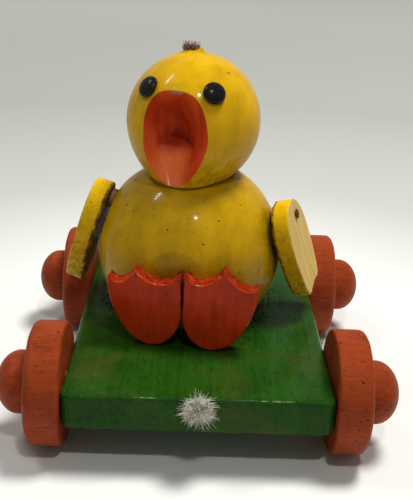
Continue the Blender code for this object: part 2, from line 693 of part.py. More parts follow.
base_board = make_board()
make_axle(base_board, "front", BOARD_MIDDLE - WHEELBASE / 2)
make_axle(base_board, "rear", BOARD_MIDDLE + WHEELBASE / 2)
duck_turn = Matrix.Rotation(math.radians(-DUCK_TURN), 4, "Z")
duck_place = joint_empty("duck_place", at(-DUCK_TO_RIGHT, BOARD_MIDDLE + DUCK_BACK, BOARD_TOP) @ duck_turn)
duck_body = make_body(duck_place)
head_turn = Matrix.Rotation(math.radians(-HEAD_TURN), 4, "Z")
neck_joint = joint_empty("head_turn", at(0, 0, NECK_SEAT_HEIGHT) @ head_turn, duck_place)
duck_head = make_head(neck_joint)
make_neck_dowel(duck_body, duck_head, neck_joint)
make_eye("left_eye", duck_head, neck_joint, 1)
make_eye("right_eye", duck_head, neck_joint, -1)
left_toe = (LEFT_FOOT_MIDDLE_TOE_ACROSS, LEFT_FOOT_MIDDLE_TOE_HEIGHT)
right_toe = (RIGHT_FOOT_MIDDLE_TOE_ACROSS, RIGHT_FOOT_MIDDLE_TOE_HEIGHT)
make_foot("left_foot", duck_body, duck_place, 1, *left_toe)
make_foot("right_foot", duck_body, duck_place, -1, *right_toe)
left_nail = (LEFT_NAIL_ABOVE_FLAT_CENTRE, LEFT_NAIL_BEHIND_FLAT_CENTRE)
right_nail = (RIGHT_NAIL_ABOVE_FLAT_CENTRE, RIGHT_NAIL_BEHIND_FLAT_CENTRE)
left_set = (LEFT_WING_TOE, LEFT_WING_SWING, LEFT_WING_FLAT_DEPTH)
right_set = (RIGHT_WING_TOE, RIGHT_WING_SWING, RIGHT_WING_FLAT_DEPTH)
left_wing = make_wing("left_wing", duck_body, duck_place, 1, *left_set, *left_nail)
make_wing("right_wing", duck_body, duck_place, -1, *right_set, *right_nail)
break_tip(left_wing, LEFT_WING_BROKEN_BELOW_NAIL)
make_screw(base_board, duck_body, duck_place)
make_cord_stub(base_board)
make_crest(duck_head, neck_joint)
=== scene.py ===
"""Looks of an old painted pull-along duck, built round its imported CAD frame. Lengths are millimetres."""
import json
import math

import bmesh
import bpy
import numpy as np
from mathutils import Matrix, Vector


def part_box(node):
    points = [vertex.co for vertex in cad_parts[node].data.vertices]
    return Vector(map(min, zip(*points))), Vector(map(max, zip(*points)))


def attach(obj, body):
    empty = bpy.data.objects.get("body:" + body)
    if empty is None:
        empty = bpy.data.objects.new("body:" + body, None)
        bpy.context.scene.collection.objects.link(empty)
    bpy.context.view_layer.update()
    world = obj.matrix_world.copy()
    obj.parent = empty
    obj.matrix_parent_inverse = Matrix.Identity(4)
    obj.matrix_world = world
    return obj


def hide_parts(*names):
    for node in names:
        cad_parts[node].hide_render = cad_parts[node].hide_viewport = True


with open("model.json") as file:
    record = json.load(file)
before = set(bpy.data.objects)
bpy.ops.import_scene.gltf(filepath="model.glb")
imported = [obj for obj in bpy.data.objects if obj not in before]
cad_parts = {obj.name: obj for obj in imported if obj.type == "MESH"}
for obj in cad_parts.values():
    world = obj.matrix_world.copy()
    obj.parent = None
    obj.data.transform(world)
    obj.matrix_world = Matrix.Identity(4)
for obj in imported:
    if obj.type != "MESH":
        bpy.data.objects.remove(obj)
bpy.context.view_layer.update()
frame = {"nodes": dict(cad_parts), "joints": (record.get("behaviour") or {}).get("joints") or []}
joints = {joint["name"]: joint for joint in frame["joints"]}

# Board: one half-inch softwood board, sawn square, its edges eased by wear.
# One brushed coat of green gloss, through which the long grain and its pores show. Where it has worn thin
# the wood turns it olive. Round the duck it is painted darker: painted shade where the duck's shadow falls.


def linear(code):
    """An sRGB hex colour in linear light: each channel through the standard sRGB curve."""
    channels = np.array([int(code[i:i + 2], 16) for i in (1, 3, 5)]) / 255
    curve = np.where(channels <= 0.04045, channels / 12.92, ((channels + 0.055) / 1.055) ** 2.4)
    return (*[float(value) for value in curve], 1.0)


def add(tree, kind, sockets=None, stops=None, **settings):
    """Adds a node. Sockets maps an input to a value or an output; stops are a ramp's places and colours."""
    node = tree.nodes.new("ShaderNode" + kind)
    for key, value in settings.items():
        setattr(node, key, value)
    if stops:
        ramp = node.color_ramp.elements
        while len(ramp) < len(stops):
            ramp.new(1.0)
        for element, (place, colour) in zip(ramp, stops):
            element.position = place
            element.color = linear(colour) if isinstance(colour, str) else (colour, colour, colour, 1.0)
    for key, value in (sockets or {}).items():
        if isinstance(value, bpy.types.NodeSocket):
            tree.links.new(value, node.inputs[key])
        else:
            node.inputs[key].default_value = value
    return node


def ripple(points, size, seed):
    """Smooth random height, about -1 to 1, over points in mm.

    The sum of 24 sine waves in random directions, each with a wavelength near the given size.
    """
    draw = np.random.default_rng(seed)
    headings = draw.normal(size=(24, 3))
    headings /= np.linalg.norm(headings, axis=1)[:, None]
    waves = headings * (math.tau / (size * draw.uniform(0.7, 1.6, size=(24, 1))))
    phases = draw.uniform(0, math.tau, size=24)
    return np.sin(points @ waves.T + phases).sum(axis=-1) / math.sqrt(24)


def resample(outline, spacing, closed=True):
    """Points spread evenly along a polyline, about one spacing apart."""
    line = np.array(outline, float)
    if closed:
        line = np.vstack([line, line[:1]])
    along = np.concatenate([[0], np.cumsum(np.linalg.norm(np.diff(line, axis=0), axis=1))])
    count = max(8, int(along[-1] / spacing))
    places = np.linspace(0, along[-1], count + 1)
    even = np.stack([np.interp(places, along, line[:, axis]) for axis in range(line.shape[1])], axis=1)
    return even[:-1] if closed else even


def placed(points, matrix):
    """Points turned and shifted by a matrix whose shift is in mm."""
    return points @ np.array(matrix.to_3x3()).T + np.array(matrix.translation)


def in_scene(name, data):
    """A new object in the scene that shows a mesh, camera or lamp."""
    thing = bpy.data.objects.new(name, data)
    bpy.context.scene.collection.objects.link(thing)
    return thing


def make_piece(name, points, faces, material, body, replaced, marks=None, weld=True, crease=None):
    """A piece from points in mm, its faces turned outward and shaded smooth up to the crease in degrees.

    Marks are attributes that its material reads. It stands for the frame's nodes named in replaced.
    """
    mesh = bpy.data.meshes.new(name)
    mesh.from_pydata((points.reshape(-1, 3) * 0.001).tolist(), [], faces)
    for mark, values in (marks or {}).items():
        layer = mesh.attributes.new(mark, "FLOAT", "POINT")
        spread = np.broadcast_to(values, points.shape[:-1]).astype(np.float32)
        layer.data.foreach_set("value", spread.ravel())
    bm = bmesh.new()
    bm.from_mesh(mesh)
    if weld:
        bmesh.ops.remove_doubles(bm, verts=bm.verts, dist=0.000001)
    bmesh.ops.recalc_face_normals(bm, faces=bm.faces)
    bm.to_mesh(mesh)
    bm.free()
    mesh.shade_smooth()
    if crease:
        mesh.set_sharp_from_angle(angle=math.radians(crease))
    mesh.materials.append(material)
    piece = in_scene(name, mesh)
    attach(piece, body)
    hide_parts(*replaced)


def make_skin(name, grid, material, body, replaced, marks, crease=40):
    """A closed piece from a grid of points: rows joined to the next, columns joined in a loop."""
    rows, columns = grid.shape[:2]
    across = np.arange(columns)
    near = np.arange(rows - 1)[:, None] * columns + across
    beside = np.arange(rows - 1)[:, None] * columns + (across + 1) % columns
    faces = np.stack([near, beside, beside + columns, near + columns], axis=-1).reshape(-1, 4).tolist()
    make_piece(name, grid, faces, material, body, replaced, marks, crease=crease)


def signed_power(values, power):
    """Each value's size raised to a power, with its sign kept."""
    return np.sign(values) * np.abs(values) ** power


def slab(outline, low, high, rounding, middle=(0, 0), bites=()):
    """A flat board with rounded edges, cut to a closed outline seen from above.

    Rows run from the middle of the lower face out to the edge, round it, and back to the middle of the
    upper face. On the faces the outline shrinks towards the middle; at the edges it draws in by a
    quarter circle. A bite is a smooth hollow in the edge: (share of the way round, half width, depth,
    share of the way up). It is deepest in its middle, by a parabola, and fades above and below. Returns
    the points, and how far each one is from the middle of the nearest rounded edge.
    """
    outward = np.roll(outline, -1, axis=0) - np.roll(outline, 1, axis=0)
    outward = np.stack([outward[:, 1], -outward[:, 0]], axis=1)
    outward /= np.linalg.norm(outward, axis=1)[:, None]
    middle = np.array(middle, float)
    if ((outline - middle) * outward).sum() < 0:
        outward = -outward
    length = np.linalg.norm(np.roll(outline, -1, axis=0) - outline, axis=1).sum()
    share = np.arange(len(outline)) / len(outline)
    reach = np.linalg.norm(outline - middle, axis=1).min()
    shrinks = np.array([0, 0.12, 0.3, 0.5, 0.7, 0.82, 0.9, 0.95])
    turns = np.linspace(0, math.pi / 2, 5)
    drawn_in = rounding * (1 - np.sin(turns))
    risen = rounding * (1 - np.cos(turns))
    levels = np.linspace(low + rounding, high - rounding, 9)[1:-1]
    bends = rounding * np.abs(turns - math.pi / 4)
    faces = [(rounding, shrink, bends[0] + reach * (1 - shrink)) for shrink in shrinks]
    rows = [(inset, low, shrink, edge) for inset, shrink, edge in faces]
    rows += [(inset, low + rise, 1.0, bend) for inset, rise, bend in zip(drawn_in, risen, bends)]
    rows += [(0.0, level, 1.0, bends[0] - rounding + min(level - low, high - level)) for level in levels]
    rows += [(inset, high - rise, 1.0, bend)
             for inset, rise, bend in zip(drawn_in[::-1], risen[::-1], bends)]
    rows += [(inset, high, shrink, edge) for inset, shrink, edge in faces[::-1]]
    points = []
    from_edge = []
    for inset, level, shrink, edge in rows:
        bite = np.zeros(len(outline))
        for place, half_width, depth, upper in bites:
            away = np.abs((share - place + 0.5) % 1 - 0.5) * length / half_width
            fade = np.clip(1 - abs((level - low) / (high - low) - upper) / 0.75, 0, 1)
            bite = np.maximum(bite, depth * fade * np.clip(1.3 - 1.3 * away ** 2, 0, 1))
        ring = middle + (outline - outward * (inset + bite)[:, None] - middle) * shrink
        points.append(np.column_stack([ring, np.full(len(ring), level)]))
        from_edge.append(np.full(len(ring), edge))
    return np.array(points), np.array(from_edge)


def new_material(name):
    """A material with its node tree and the tree's one shader."""
    material = bpy.data.materials.new(name)
    material.use_nodes = True
    return material, material.node_tree, material.node_tree.nodes["Principled BSDF"]


def lay_over(material, share, colour):
    """Lays a colour over a material's own; share, from 0 to 1, is how much of it covers each place."""
    tree = material.node_tree
    base = tree.nodes["Principled BSDF"].inputs["Base Color"]
    covered = add(tree, "Mix", {0: share, 6: base.links[0].from_socket, 7: colour}, data_type="RGBA")
    tree.links.new(covered.outputs[2], base)


def painted_wood(name, paint, deep, worn, grain, gloss, grime_and_shade, pits=0.3, pit_mm=2.6, wear_mm=0.7, chips=0.5,
                 flecks=0.0, pores=(1.4, 1.4, 1.4), pored=0.3, bump_mm=0.08, specular=0.12, coat=0.0):
    """Old oil gloss brushed on bare wood: uneven, pitted, dirty in places and rubbed through at the edges.

    paint and deep are its lightest and darkest colours, worn the bare wood's, and grime_and_shade the colour
    of dirt and of painted shade. grain is how many times per mm the streaks repeat along X, Y and Z. pits is
    the share of cells, pit_mm across, that hold a pit, and flecks the share that holds a pale fleck of bare
    wood.
    pores is how many fine dark pores there are per mm along X, Y and Z, and pored how much they show. The
    mark
    "edge" is each point's distance in mm from the nearest edge; wear reaches about wear_mm in from it, and
    chips is how much of that is bare. The mark "dirt_and_shade", from 0 to 1, is how much dirt has gathered,
    and on some pieces painted shade in creases and under things. gloss is the roughness of clean paint, and
    coat how much of it is a hard clear skin, which dirt and painted shade cover.
    """
    material, tree, shader = new_material(name)
    here = add(tree, "TexCoord").outputs["Object"]
    in_mm = add(tree, "Mapping", {"Vector": here, "Scale": (1000, 1000, 1000)}).outputs[0]

    # The brushed coat: streaks along the grain and broad clouds, 14 mm across, make it thick or thin.
    along_grain = add(tree, "Mapping", {"Vector": here, "Scale": [1000 * g for g in grain]}).outputs[0]
    streaks = add(tree, "TexNoise", {"Vector": along_grain, "Scale": 1.0, "Detail": 5.0, "Roughness": 0.6},
                  name="streaks")
    clouds = add(tree, "TexNoise", {"Vector": in_mm, "Scale": 0.07, "Detail": 5.0, "Roughness": 0.6})
    mottle = add(tree, "TexNoise", {"Vector": in_mm, "Scale": 0.45, "Detail": 6.0, "Roughness": 0.65},
                 name="mottle")
    uneven = 0.0
    for noise, share in ((streaks, 0.35), (clouds, 0.65)):
        uneven = add(tree, "Math", {0: noise.outputs["Fac"], 1: share, 2: uneven},
                     operation="MULTIPLY_ADD").outputs[0]
    coloured = add(tree, "ValToRGB", {"Fac": uneven}, stops=[(0.36, deep), (0.6, paint)])

    # Pits: a round hole in the middle of each chosen cell.
    cells = add(tree, "TexVoronoi", {"Vector": in_mm, "Scale": 1 / pit_mm})
    round_pit = add(tree, "MapRange", {"Value": cells.outputs["Distance"], "From Min": 0.1, "From Max": 0.2,
                                       "To Min": 1.0, "To Max": 0.0})
    chance = add(tree, "SeparateColor", {"Color": cells.outputs["Color"]})
    chosen = add(tree, "Math", {0: chance.outputs[0], 1: pits}, operation="LESS_THAN")
    pit = add(tree, "Math", {0: round_pit.outputs[0], 1: chosen.outputs[0]}, operation="MULTIPLY")

    # Dirt, and painted shade where the mark carries it: patchy where the mark says, a thin haze of dirt
    # elsewhere, and more in the pores and pits.
    dirt_and_shade = add(tree, "Attribute", attribute_name="dirt_and_shade").outputs["Fac"]
    patchy = add(tree, "MapRange", {"Value": mottle.outputs["Fac"], "From Min": 0.35, "From Max": 0.65,
                                    "To Min": 0.15, "To Max": 1.0})
    smudge_and_shade = add(tree, "Math", {0: dirt_and_shade, 1: patchy.outputs[0]}, operation="MULTIPLY")
    haze = add(tree, "MapRange", {"Value": clouds.outputs["Fac"], "From Min": 0.52, "From Max": 0.75,
                                  "To Min": 0.0, "To Max": 0.35})
    smudge_and_shade = add(tree, "Math", {0: smudge_and_shade.outputs[0], 1: haze.outputs[0]}, operation="MAXIMUM")
    fine = add(tree, "Mapping", {"Vector": here, "Scale": [1000 * p for p in pores]}).outputs[0]
    fine = add(tree, "TexNoise", {"Vector": fine, "Scale": 1.0, "Detail": 2.0, "Roughness": 0.7})
    fine = add(tree, "Math", {0: dirt_and_shade, 1: 0.1, 2: fine.outputs["Fac"]}, operation="MULTIPLY_ADD")
    pore = add(tree, "MapRange", {"Value": fine.outputs[0], "From Min": 0.68 - 0.1 * pored,
                                  "From Max": 0.76 - 0.1 * pored, "To Min": 0.0, "To Max": 0.6})
    smudge_and_shade = add(tree, "Math", {0: smudge_and_shade.outputs[0], 1: pore.outputs[0]}, operation="ADD")
    dark = add(tree, "Math", {0: pit.outputs[0], 1: 0.8, 2: smudge_and_shade.outputs[0]}, operation="MULTIPLY_ADD",
               use_clamp=True)
    dirtied_and_shaded = add(tree, "Mix", {0: dark.outputs[0], 6: coloured.outputs[0], 7: linear(grime_and_shade)}, data_type="RGBA")

    # Wear: ragged chips of bare wood at the edges, and a few flecks anywhere.
    edge = add(tree, "Attribute", attribute_name="edge").outputs["Fac"]
    ragged = add(tree, "MapRange", {"Value": edge, "From Min": 0.0, "From Max": wear_mm * 2,
                                    "To Min": 0.42, "To Max": 0.0}).outputs[0]
    for noise, share in ((clouds, 0.8), (mottle, 0.7)):
        ragged = add(tree, "Math", {0: noise.outputs["Fac"], 1: share, 2: ragged},
                     operation="MULTIPLY_ADD").outputs[0]
    bare = add(tree, "MapRange", {"Value": ragged, "From Min": 1.28 - chips * 0.25,
                                  "From Max": 1.33 - chips * 0.25})
    fleck = add(tree, "Math", {0: chance.outputs[1], 1: flecks}, operation="LESS_THAN")
    fleck = add(tree, "Math", {0: fleck.outputs[0], 1: round_pit.outputs[0]}, operation="MULTIPLY")
    bare = add(tree, "Math", {0: bare.outputs[0], 1: fleck.outputs[0]}, operation="MAXIMUM")
    colour = add(tree, "Mix", {0: bare.outputs[0], 6: dirtied_and_shaded.outputs[2], 7: linear(worn)}, data_type="RGBA")
    tree.links.new(colour.outputs[2], shader.inputs["Base Color"])

    # Shine: dirt, painted shade and bare wood are duller than clean gloss.
    rough = gloss
    for layer, duller in ((dark, 0.55), (bare, 0.35)):
        rough = add(tree, "Math", {0: layer.outputs[0], 1: duller, 2: rough},
                    operation="MULTIPLY_ADD").outputs[0]
    tree.links.new(rough, shader.inputs["Roughness"])
    shader.inputs["Specular IOR Level"].default_value = specular
    shader.inputs["Coat Roughness"].default_value = 0.08
    if coat:
        varnish = add(tree, "Math", {0: dark.outputs[0], 1: -coat, 2: coat}, operation="MULTIPLY_ADD")
        tree.links.new(varnish.outputs[0], shader.inputs["Coat Weight"])

    # Relief: brush streaks stand up; pits, bare wood and pores lie below the paint.
    height = streaks.outputs["Fac"]
    for layer, rise in ((pit, -1.2), (bare, -0.6), (pore, -1.0)):
        height = add(tree, "Math", {0: layer.outputs[0], 1: rise, 2: height},
                     operation="MULTIPLY_ADD").outputs[0]
    bump = add(tree, "Bump", {"Height": height, "Distance": bump_mm * 0.001, "Strength": 0.8})
    tree.links.new(bump.outputs[0], shader.inputs["Normal"])
    return material


board_low, board_high = [np.array(corner) * 1000 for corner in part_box("base_board")]
BOARD_CORNER = 2.6
BOARD_ROUNDING = 1.5
EDGE_UNEVENNESS = 0.06
SHADE_ROUND_DUCK = 33
board_outline = []
for x_side, y_side, start in ((1, 1, 0), (-1, 1, 90), (-1, -1, 180), (1, -1, 270)):
    for angle in np.radians(start + np.linspace(0, 90, 4)):
        x_edge = board_high[0] if x_side > 0 else board_low[0]
        y_edge = board_high[1] if y_side > 0 else board_low[1]
        board_outline.append((x_edge - BOARD_CORNER * (x_side - math.cos(angle)),
                              y_edge - BOARD_CORNER * (y_side - math.sin(angle))))
board_outline = resample(board_outline, 0.7)
board_middle = (board_low + board_high) / 2
board_points, board_edge = slab(board_outline, board_low[2], board_high[2], BOARD_ROUNDING, board_middle[:2])
worn_in = EDGE_UNEVENNESS * (ripple(board_points, 9, 3) - 1) * (board_edge < 1)
board_points = board_points + worn_in[..., None] * np.sign(board_points - board_middle)
# Its worn colour is a pale green: along the rounded edges it is a painted highlight as well as wear, and it
# also colours the few pale flecks.
GREEN_GLOSS = painted_wood("green_gloss_on_softwood", "#23510F", "#163809", "#75934F", (0.9, 0.03, 0.9), 0.3,
                           "#091605", pits=0.3, pit_mm=1.4, wear_mm=0.4, chips=0.4, flecks=0.006,
                           pores=(1.5, 0.35, 1.2), pored=0.7, bump_mm=0.07, specular=0.06, coat=0.09)
tree = GREEN_GLOSS.node_tree
# 45 patches per metre, so about 22 mm each.
worn_thin = add(tree, "TexNoise", {"Vector": add(tree, "TexCoord").outputs["Object"], "Scale": 45.0,
                                   "Detail": 6.0, "Roughness": 0.7, "Distortion": 0.6})
worn_thin = add(tree, "MapRange", {"Value": worn_thin.outputs["Fac"], "From Min": 0.5, "From Max": 0.68,
                                   "To Min": 0.0, "To Max": 0.55})
lay_over(GREEN_GLOSS, worn_thin.outputs[0], linear("#46481A"))
# The front face carries a little of the dark mark: painted shade against the front lamp, which also deepens
# its pores.
front_face_shade_and_dirt = np.clip((board_low[1] + BOARD_ROUNDING - board_points[..., 1]) / BOARD_ROUNDING, 0, 1)
# Painted shade: the top darkens in a ring round the duck's axis, where its shadow falls on the board.
duck_axis = np.array(joints["head_turn"]["pos_m"][:2]) * 1000
from_duck = np.linalg.norm(board_points[..., :2] - duck_axis, axis=-1)
painted_shade_under_duck = np.exp(-(from_duck / SHADE_ROUND_DUCK) ** 6) * (board_points[..., 2] > board_high[2] - 1)
make_skin("board", board_points, GREEN_GLOSS, "chassis", ["base_board"],
          {"edge": board_edge, "dirt_and_shade": 0.05 * front_face_shade_and_dirt + 1.1 * painted_shade_under_duck})

# Wheels and hub caps: turned from beech and dipped in thin red-brown paint, with the pores showing through.
# The wheels run loose on the axle's ends; each cap is pressed on over the end and holds its wheel.


def turned(profile, matrix, steps=96):
    """A lathe-turned surface: a profile of (radius, height) pairs carried round the matrix's Z axis."""
    turn = np.linspace(0, math.tau, steps, endpoint=False)
    radius = profile[:, 0][:, None]
    height = np.broadcast_to(profile[:, 1][:, None], (len(profile), steps))
    return placed(np.stack([radius * np.cos(turn), radius * np.sin(turn), height], axis=-1), matrix)


def rounded_corner(corner, radius, start, end, count=6):
    """Points of a quarter circle, from one angle in degrees to another, round a centre."""
    angles = np.radians(np.linspace(start, end, count))
    return [(corner[0] + radius * math.cos(a), corner[1] + radius * math.sin(a)) for a in angles]


def frame_along(origin, axis):
    """A matrix at an origin in mm whose Z axis is along the given one."""
    return Matrix.Translation(origin) @ Vector(axis).to_track_quat("Z", "Y").to_matrix().to_4x4()


GAP = 0.3  # left by the solids between pieces that touch
WHEEL_RADIUS = 20.0
WHEEL_BORE = 4.45
WHEEL_WIDTH = 10.9
WHEEL_INNER_ROUNDING = 1.0
WHEEL_OUTER_ROUNDING = 2.2
RIM_WEAR_INSET = 0.6
CAP_RADIUS = 10.25
CAP_ROUNDING = 0.4
CAP_RIM = 3.4
CAP_DOME = 7.6
wheel_profile = [(WHEEL_BORE, 0.0)]
wheel_profile += rounded_corner((WHEEL_RADIUS - WHEEL_INNER_ROUNDING, WHEEL_INNER_ROUNDING),
                                WHEEL_INNER_ROUNDING, -90, 0)
wheel_profile += rounded_corner((WHEEL_RADIUS - WHEEL_OUTER_ROUNDING, WHEEL_WIDTH - WHEEL_OUTER_ROUNDING),
                                WHEEL_OUTER_ROUNDING, 0, 90)
wheel_profile += [(WHEEL_BORE, WHEEL_WIDTH)]
wheel_profile = np.vstack([resample(wheel_profile, 0.7, closed=False), [[WHEEL_BORE, 0.0]]])
cap_profile = [(0.0, 0.0)]
cap_profile += rounded_corner((CAP_RADIUS - CAP_ROUNDING, CAP_ROUNDING), CAP_ROUNDING, -90, 0, 3)
cap_profile += [(CAP_RADIUS, CAP_RIM)]
cap_profile += [(CAP_RADIUS * math.cos(a), CAP_RIM + CAP_DOME * math.sin(a))
                for a in np.radians(np.linspace(4, 90, 22))]
cap_profile = resample(cap_profile, 0.6, closed=False)
wheel_edge = np.minimum(np.abs(wheel_profile[:, 0] - WHEEL_RADIUS + RIM_WEAR_INSET) + 0.2,
                        np.abs(wheel_profile[:, 1] - WHEEL_WIDTH + RIM_WEAR_INSET) + 0.6)
cap_edge = np.abs(cap_profile[:, 1] - CAP_ROUNDING)
RED_DIP = painted_wood("red_brown_dipped_paint_on_beech", "#A04320", "#7C2F14", "#C57C4F",
                       (0.08, 0.9, 0.9), 0.45, "#2F0F06", pits=0.05, wear_mm=0.4, chips=0.3,
                       pores=(0.5, 1.6, 1.6), pored=0.7, bump_mm=0.12, specular=0.08)
for index, corner in enumerate(("front_left", "front_right", "rear_left", "rear_right")):
    joint = joints[corner + "_wheel_spin"]
    side = 1 if joint["pos_m"][0] > 0 else -1
    hub = frame_along(Vector(joint["pos_m"]) * 1000, (side, 0, 0))
    wheel = turned(wheel_profile, hub)
    wheel = wheel + 0.05 * ripple(wheel, 5, 20 + index)[..., None] * (1, 0, 0)
    make_skin(corner + "_turned_wheel", wheel, RED_DIP, corner + "_wheel_body",
              [corner + "_wheel"], {"edge": wheel_edge[:, None]})
    cap = turned(cap_profile, hub @ Matrix.Translation((0, 0, WHEEL_WIDTH + GAP)), 64)
    make_skin(corner + "_domed_cap", cap, RED_DIP, "chassis", [corner + "_hub_cap"],
              {"edge": cap_edge[:, None]})

# Duck's body: a ball turned from one block, cut flat below, at the neck, for the feet and behind the wings.
# Yellow gloss, thick enough to shine, darker low down, round the neck and along the wings: dirt, and painted
# shade in the creases, under the head and on the underside.


def heading(azimuth, elevation):
    """Unit directions from angles in degrees; azimuth 0 looks forward along -Y and grows towards +X."""
    a = np.radians(azimuth)
    e = np.radians(elevation)
    return np.stack([np.cos(e) * np.sin(a), -np.cos(e) * np.cos(a), np.sin(e) + 0 * a], axis=-1)


def least(distances, softness):
    """The least of several distances, rounded where two are nearly equal.

    Minus the softness times the logarithm of the sum of exp(-distance / softness).
    """
    nearest = np.min(distances, axis=0)
    return nearest - softness * np.log(np.exp((nearest - distances) / softness).sum(axis=0))


DUCK_TURN = math.radians(-8)
BODY_RADIUS = 32.8
BODY_BELOW_SEAT = 29.0
FEET_FLAT = 31.5
BODY_EDGE_SOFTNESS = 0.22
BODY_UNEVENNESS = 0.06
WIDEST_CUT = 0.2  # cosine beyond which a ray no longer meets a flat
neck = Vector(joints["head_turn"]["pos_m"]) * 1000
wing_out = {side: np.array(joints[side + "_wing_swing"]["axis"], float) for side in ("left", "right")}
wing_seat = {side: np.array(joints[side + "_wing_swing"]["pos_m"]) * 1000 for side in ("left", "right")}
forward = np.array([math.sin(DUCK_TURN), -math.cos(DUCK_TURN), 0])
body_middle = np.array(neck) - (0, 0, BODY_BELOW_SEAT)
body_floor = body_middle[2] - board_high[2] - GAP
body_rays = heading(*np.meshgrid(np.linspace(0, 360, 360, endpoint=False), np.linspace(-90, 90, 210)))
flats = [((0, 0, -1), body_floor), ((0, 0, 1), BODY_BELOW_SEAT), (forward, FEET_FLAT)]
flats += [(wing_out[side], float(wing_out[side] @ (wing_seat[side] - body_middle))) for side in wing_out]
reaches = [np.full(body_rays.shape[:2], BODY_RADIUS)]
for normal, distance in flats:
    toward = body_rays @ np.array(normal)
    reaches.append(np.where(toward > WIDEST_CUT, distance / np.maximum(toward, WIDEST_CUT), 1000.0))
reaches = np.array(reaches)
body_reach = least(reaches, BODY_EDGE_SOFTNESS)
body_points = body_middle + body_rays * body_reach[..., None]
nearest, second = np.sort(reaches, axis=0)[:2]
body_edge = (second - nearest) * 1.5
dents = BODY_UNEVENNESS * (1 + ripple(body_points, 12, 5)) * (body_edge > 1)
body_points = body_points - body_rays * dents[..., None]
# Painted shade and dirt: the body darkens round the neck under the head, on its underside and in the creases
# by the wings.
from_neck = np.linalg.norm(body_points - (np.array(neck) - (0, 0, 2)), axis=-1)
neck_dirt_and_shade = np.exp(-(np.clip(from_neck - 12, 0, None) / 3.5) ** 2)
low_dirt_and_shade = np.clip((-body_rays[..., 2] + 0.25) / 0.5, 0, 1)
wing_dirt = np.exp(-np.abs(reaches[4:] - body_reach).min(axis=0) / 0.7)
body_soil = 0.45 * neck_dirt_and_shade + 0.45 * low_dirt_and_shade * 0.75 + 0.6 * wing_dirt
# The body's yellow is darker than the head's: older dirt, and painted shade for the body lying below the head
# and lit less.
YELLOW_GLOSS = painted_wood("yellow_gloss_on_turned_wood", "#D2A30C", "#A88306", "#644F11",
                            (0.16, 0.16, 0.05), 0.24, "#4F3E06", pits=0.1, pit_mm=2.4, wear_mm=0.3,
                            chips=0.1, pored=0.5, bump_mm=0.05, specular=0.04, coat=0.18)
make_skin("turned_body", body_points, YELLOW_GLOSS, "chassis", ["duck_body"],
          {"edge": body_edge + 0.5, "dirt_and_shade": np.clip(body_soil, 0, 1)}, crease=60)

# Feet: two webbed plates sawn from 6 mm board, pinned to the body's flat front and standing on the board.
# Deep red gloss, rubbed pale along the front edges and dirty on top of the toes.

FOOT_WIDTH = 24.3
FOOT_THICKNESS = 6.0
FOOT_BACK = FEET_FLAT + GAP
FOOT_FRONT = FOOT_BACK + FOOT_THICKNESS
FOOT_ROUNDING = 0.6
FOOT_MIDDLE = (0, 14)
TOES_FROM = 18
FEET_GAP = 1.0
FEET_TO_LEFT = 3.3
OUTER_TOE = 23.7
INNER_TOE = 26.4
MIDDLE_TOES = {"left": (12.9, 29.4), "right": (15.2, 27.2)}
SIDE_RISES = (16.0, 20.5)
HEEL_INWARD = 2.5
WEB_DIPS = (3.0, 4.2)


def foot_outline(side, middle_toe):
    """Seen from in front: a half ellipse for the heel and sides, then three toes joined by sagging webs.

    The sides rise by different amounts, and the ellipse leans inward as it goes down. A web sags below the
    straight line between two toes by its dip times the 0.7th power of a half sine wave.
    """
    half = FOOT_WIDTH / 2
    turn = np.radians(np.linspace(180, 360, 49))
    up = np.sin(turn)
    rise = np.where(np.cos(turn) > 0, SIDE_RISES[1], SIDE_RISES[0])
    heel = np.column_stack([half * np.cos(turn) + HEEL_INWARD * up, rise * (1 + up)])
    toes = np.array([(half, OUTER_TOE), (middle_toe[0] - half, middle_toe[1]), (-half, INNER_TOE)])
    lines = [heel]
    for start, end, dip in zip(toes, toes[1:], WEB_DIPS):
        share = np.linspace(0, 1, 15)[:, None]
        sag = dip * np.sin(math.pi * share) ** 0.7
        lines.append(start + (end - start) * share - sag * (0, 1))
    return resample(np.vstack(lines), 0.45) * (side, 1)


RED_GLOSS = painted_wood("deep_red_gloss_on_board", "#D94013", "#AD2D0B", "#D59155",
                         (0.5, 0.5, 0.06), 0.28, "#3E1309", pits=0.06, pit_mm=1.6, wear_mm=0.5, chips=0.4,
                         pored=0.5, specular=0.08, coat=0.08)
duck_base = Matrix.Translation((neck.x, neck.y, board_high[2])) @ Matrix.Rotation(DUCK_TURN, 4, "Z")
for side_name, side in (("left", 1), ("right", -1)):
    across = side * (FOOT_WIDTH + FEET_GAP) / 2 + FEET_TO_LEFT
    upright = Matrix.Translation((across, 0, GAP)) @ Matrix.Rotation(math.radians(90), 4, "X")
    outline = foot_outline(side, MIDDLE_TOES[side_name])
    foot, foot_edge = slab(outline, FOOT_BACK, FOOT_FRONT, FOOT_ROUNDING, FOOT_MIDDLE)
    toe_tops = np.clip((foot[..., 1] - TOES_FROM) / 3, 0, 1) * (foot[..., 2] < FOOT_FRONT - 0.3)
    foot = placed(foot, duck_base @ upright)
    foot = foot + 0.05 * ripple(foot, 5, 40 + side)[..., None] * forward
    make_skin(side_name + "_webbed_foot", foot, RED_GLOSS, "chassis",
              [side_name + "_foot"], {"edge": foot_edge * (1 - 0.4 * toe_tops), "dirt_and_shade": 0.8 * toe_tops})

# Wings: two oval plates of quarter-inch board, each hung on one nail over a thin washer; the left tip is
# broken. Their rims keep yellow gloss full of brown pits and grow darker towards the bottom, the inner faces
# are painted dark brown, painted shade in the gap to the body over some dirt, and the outer faces are rubbed
# down to tan wood with the grain upright.

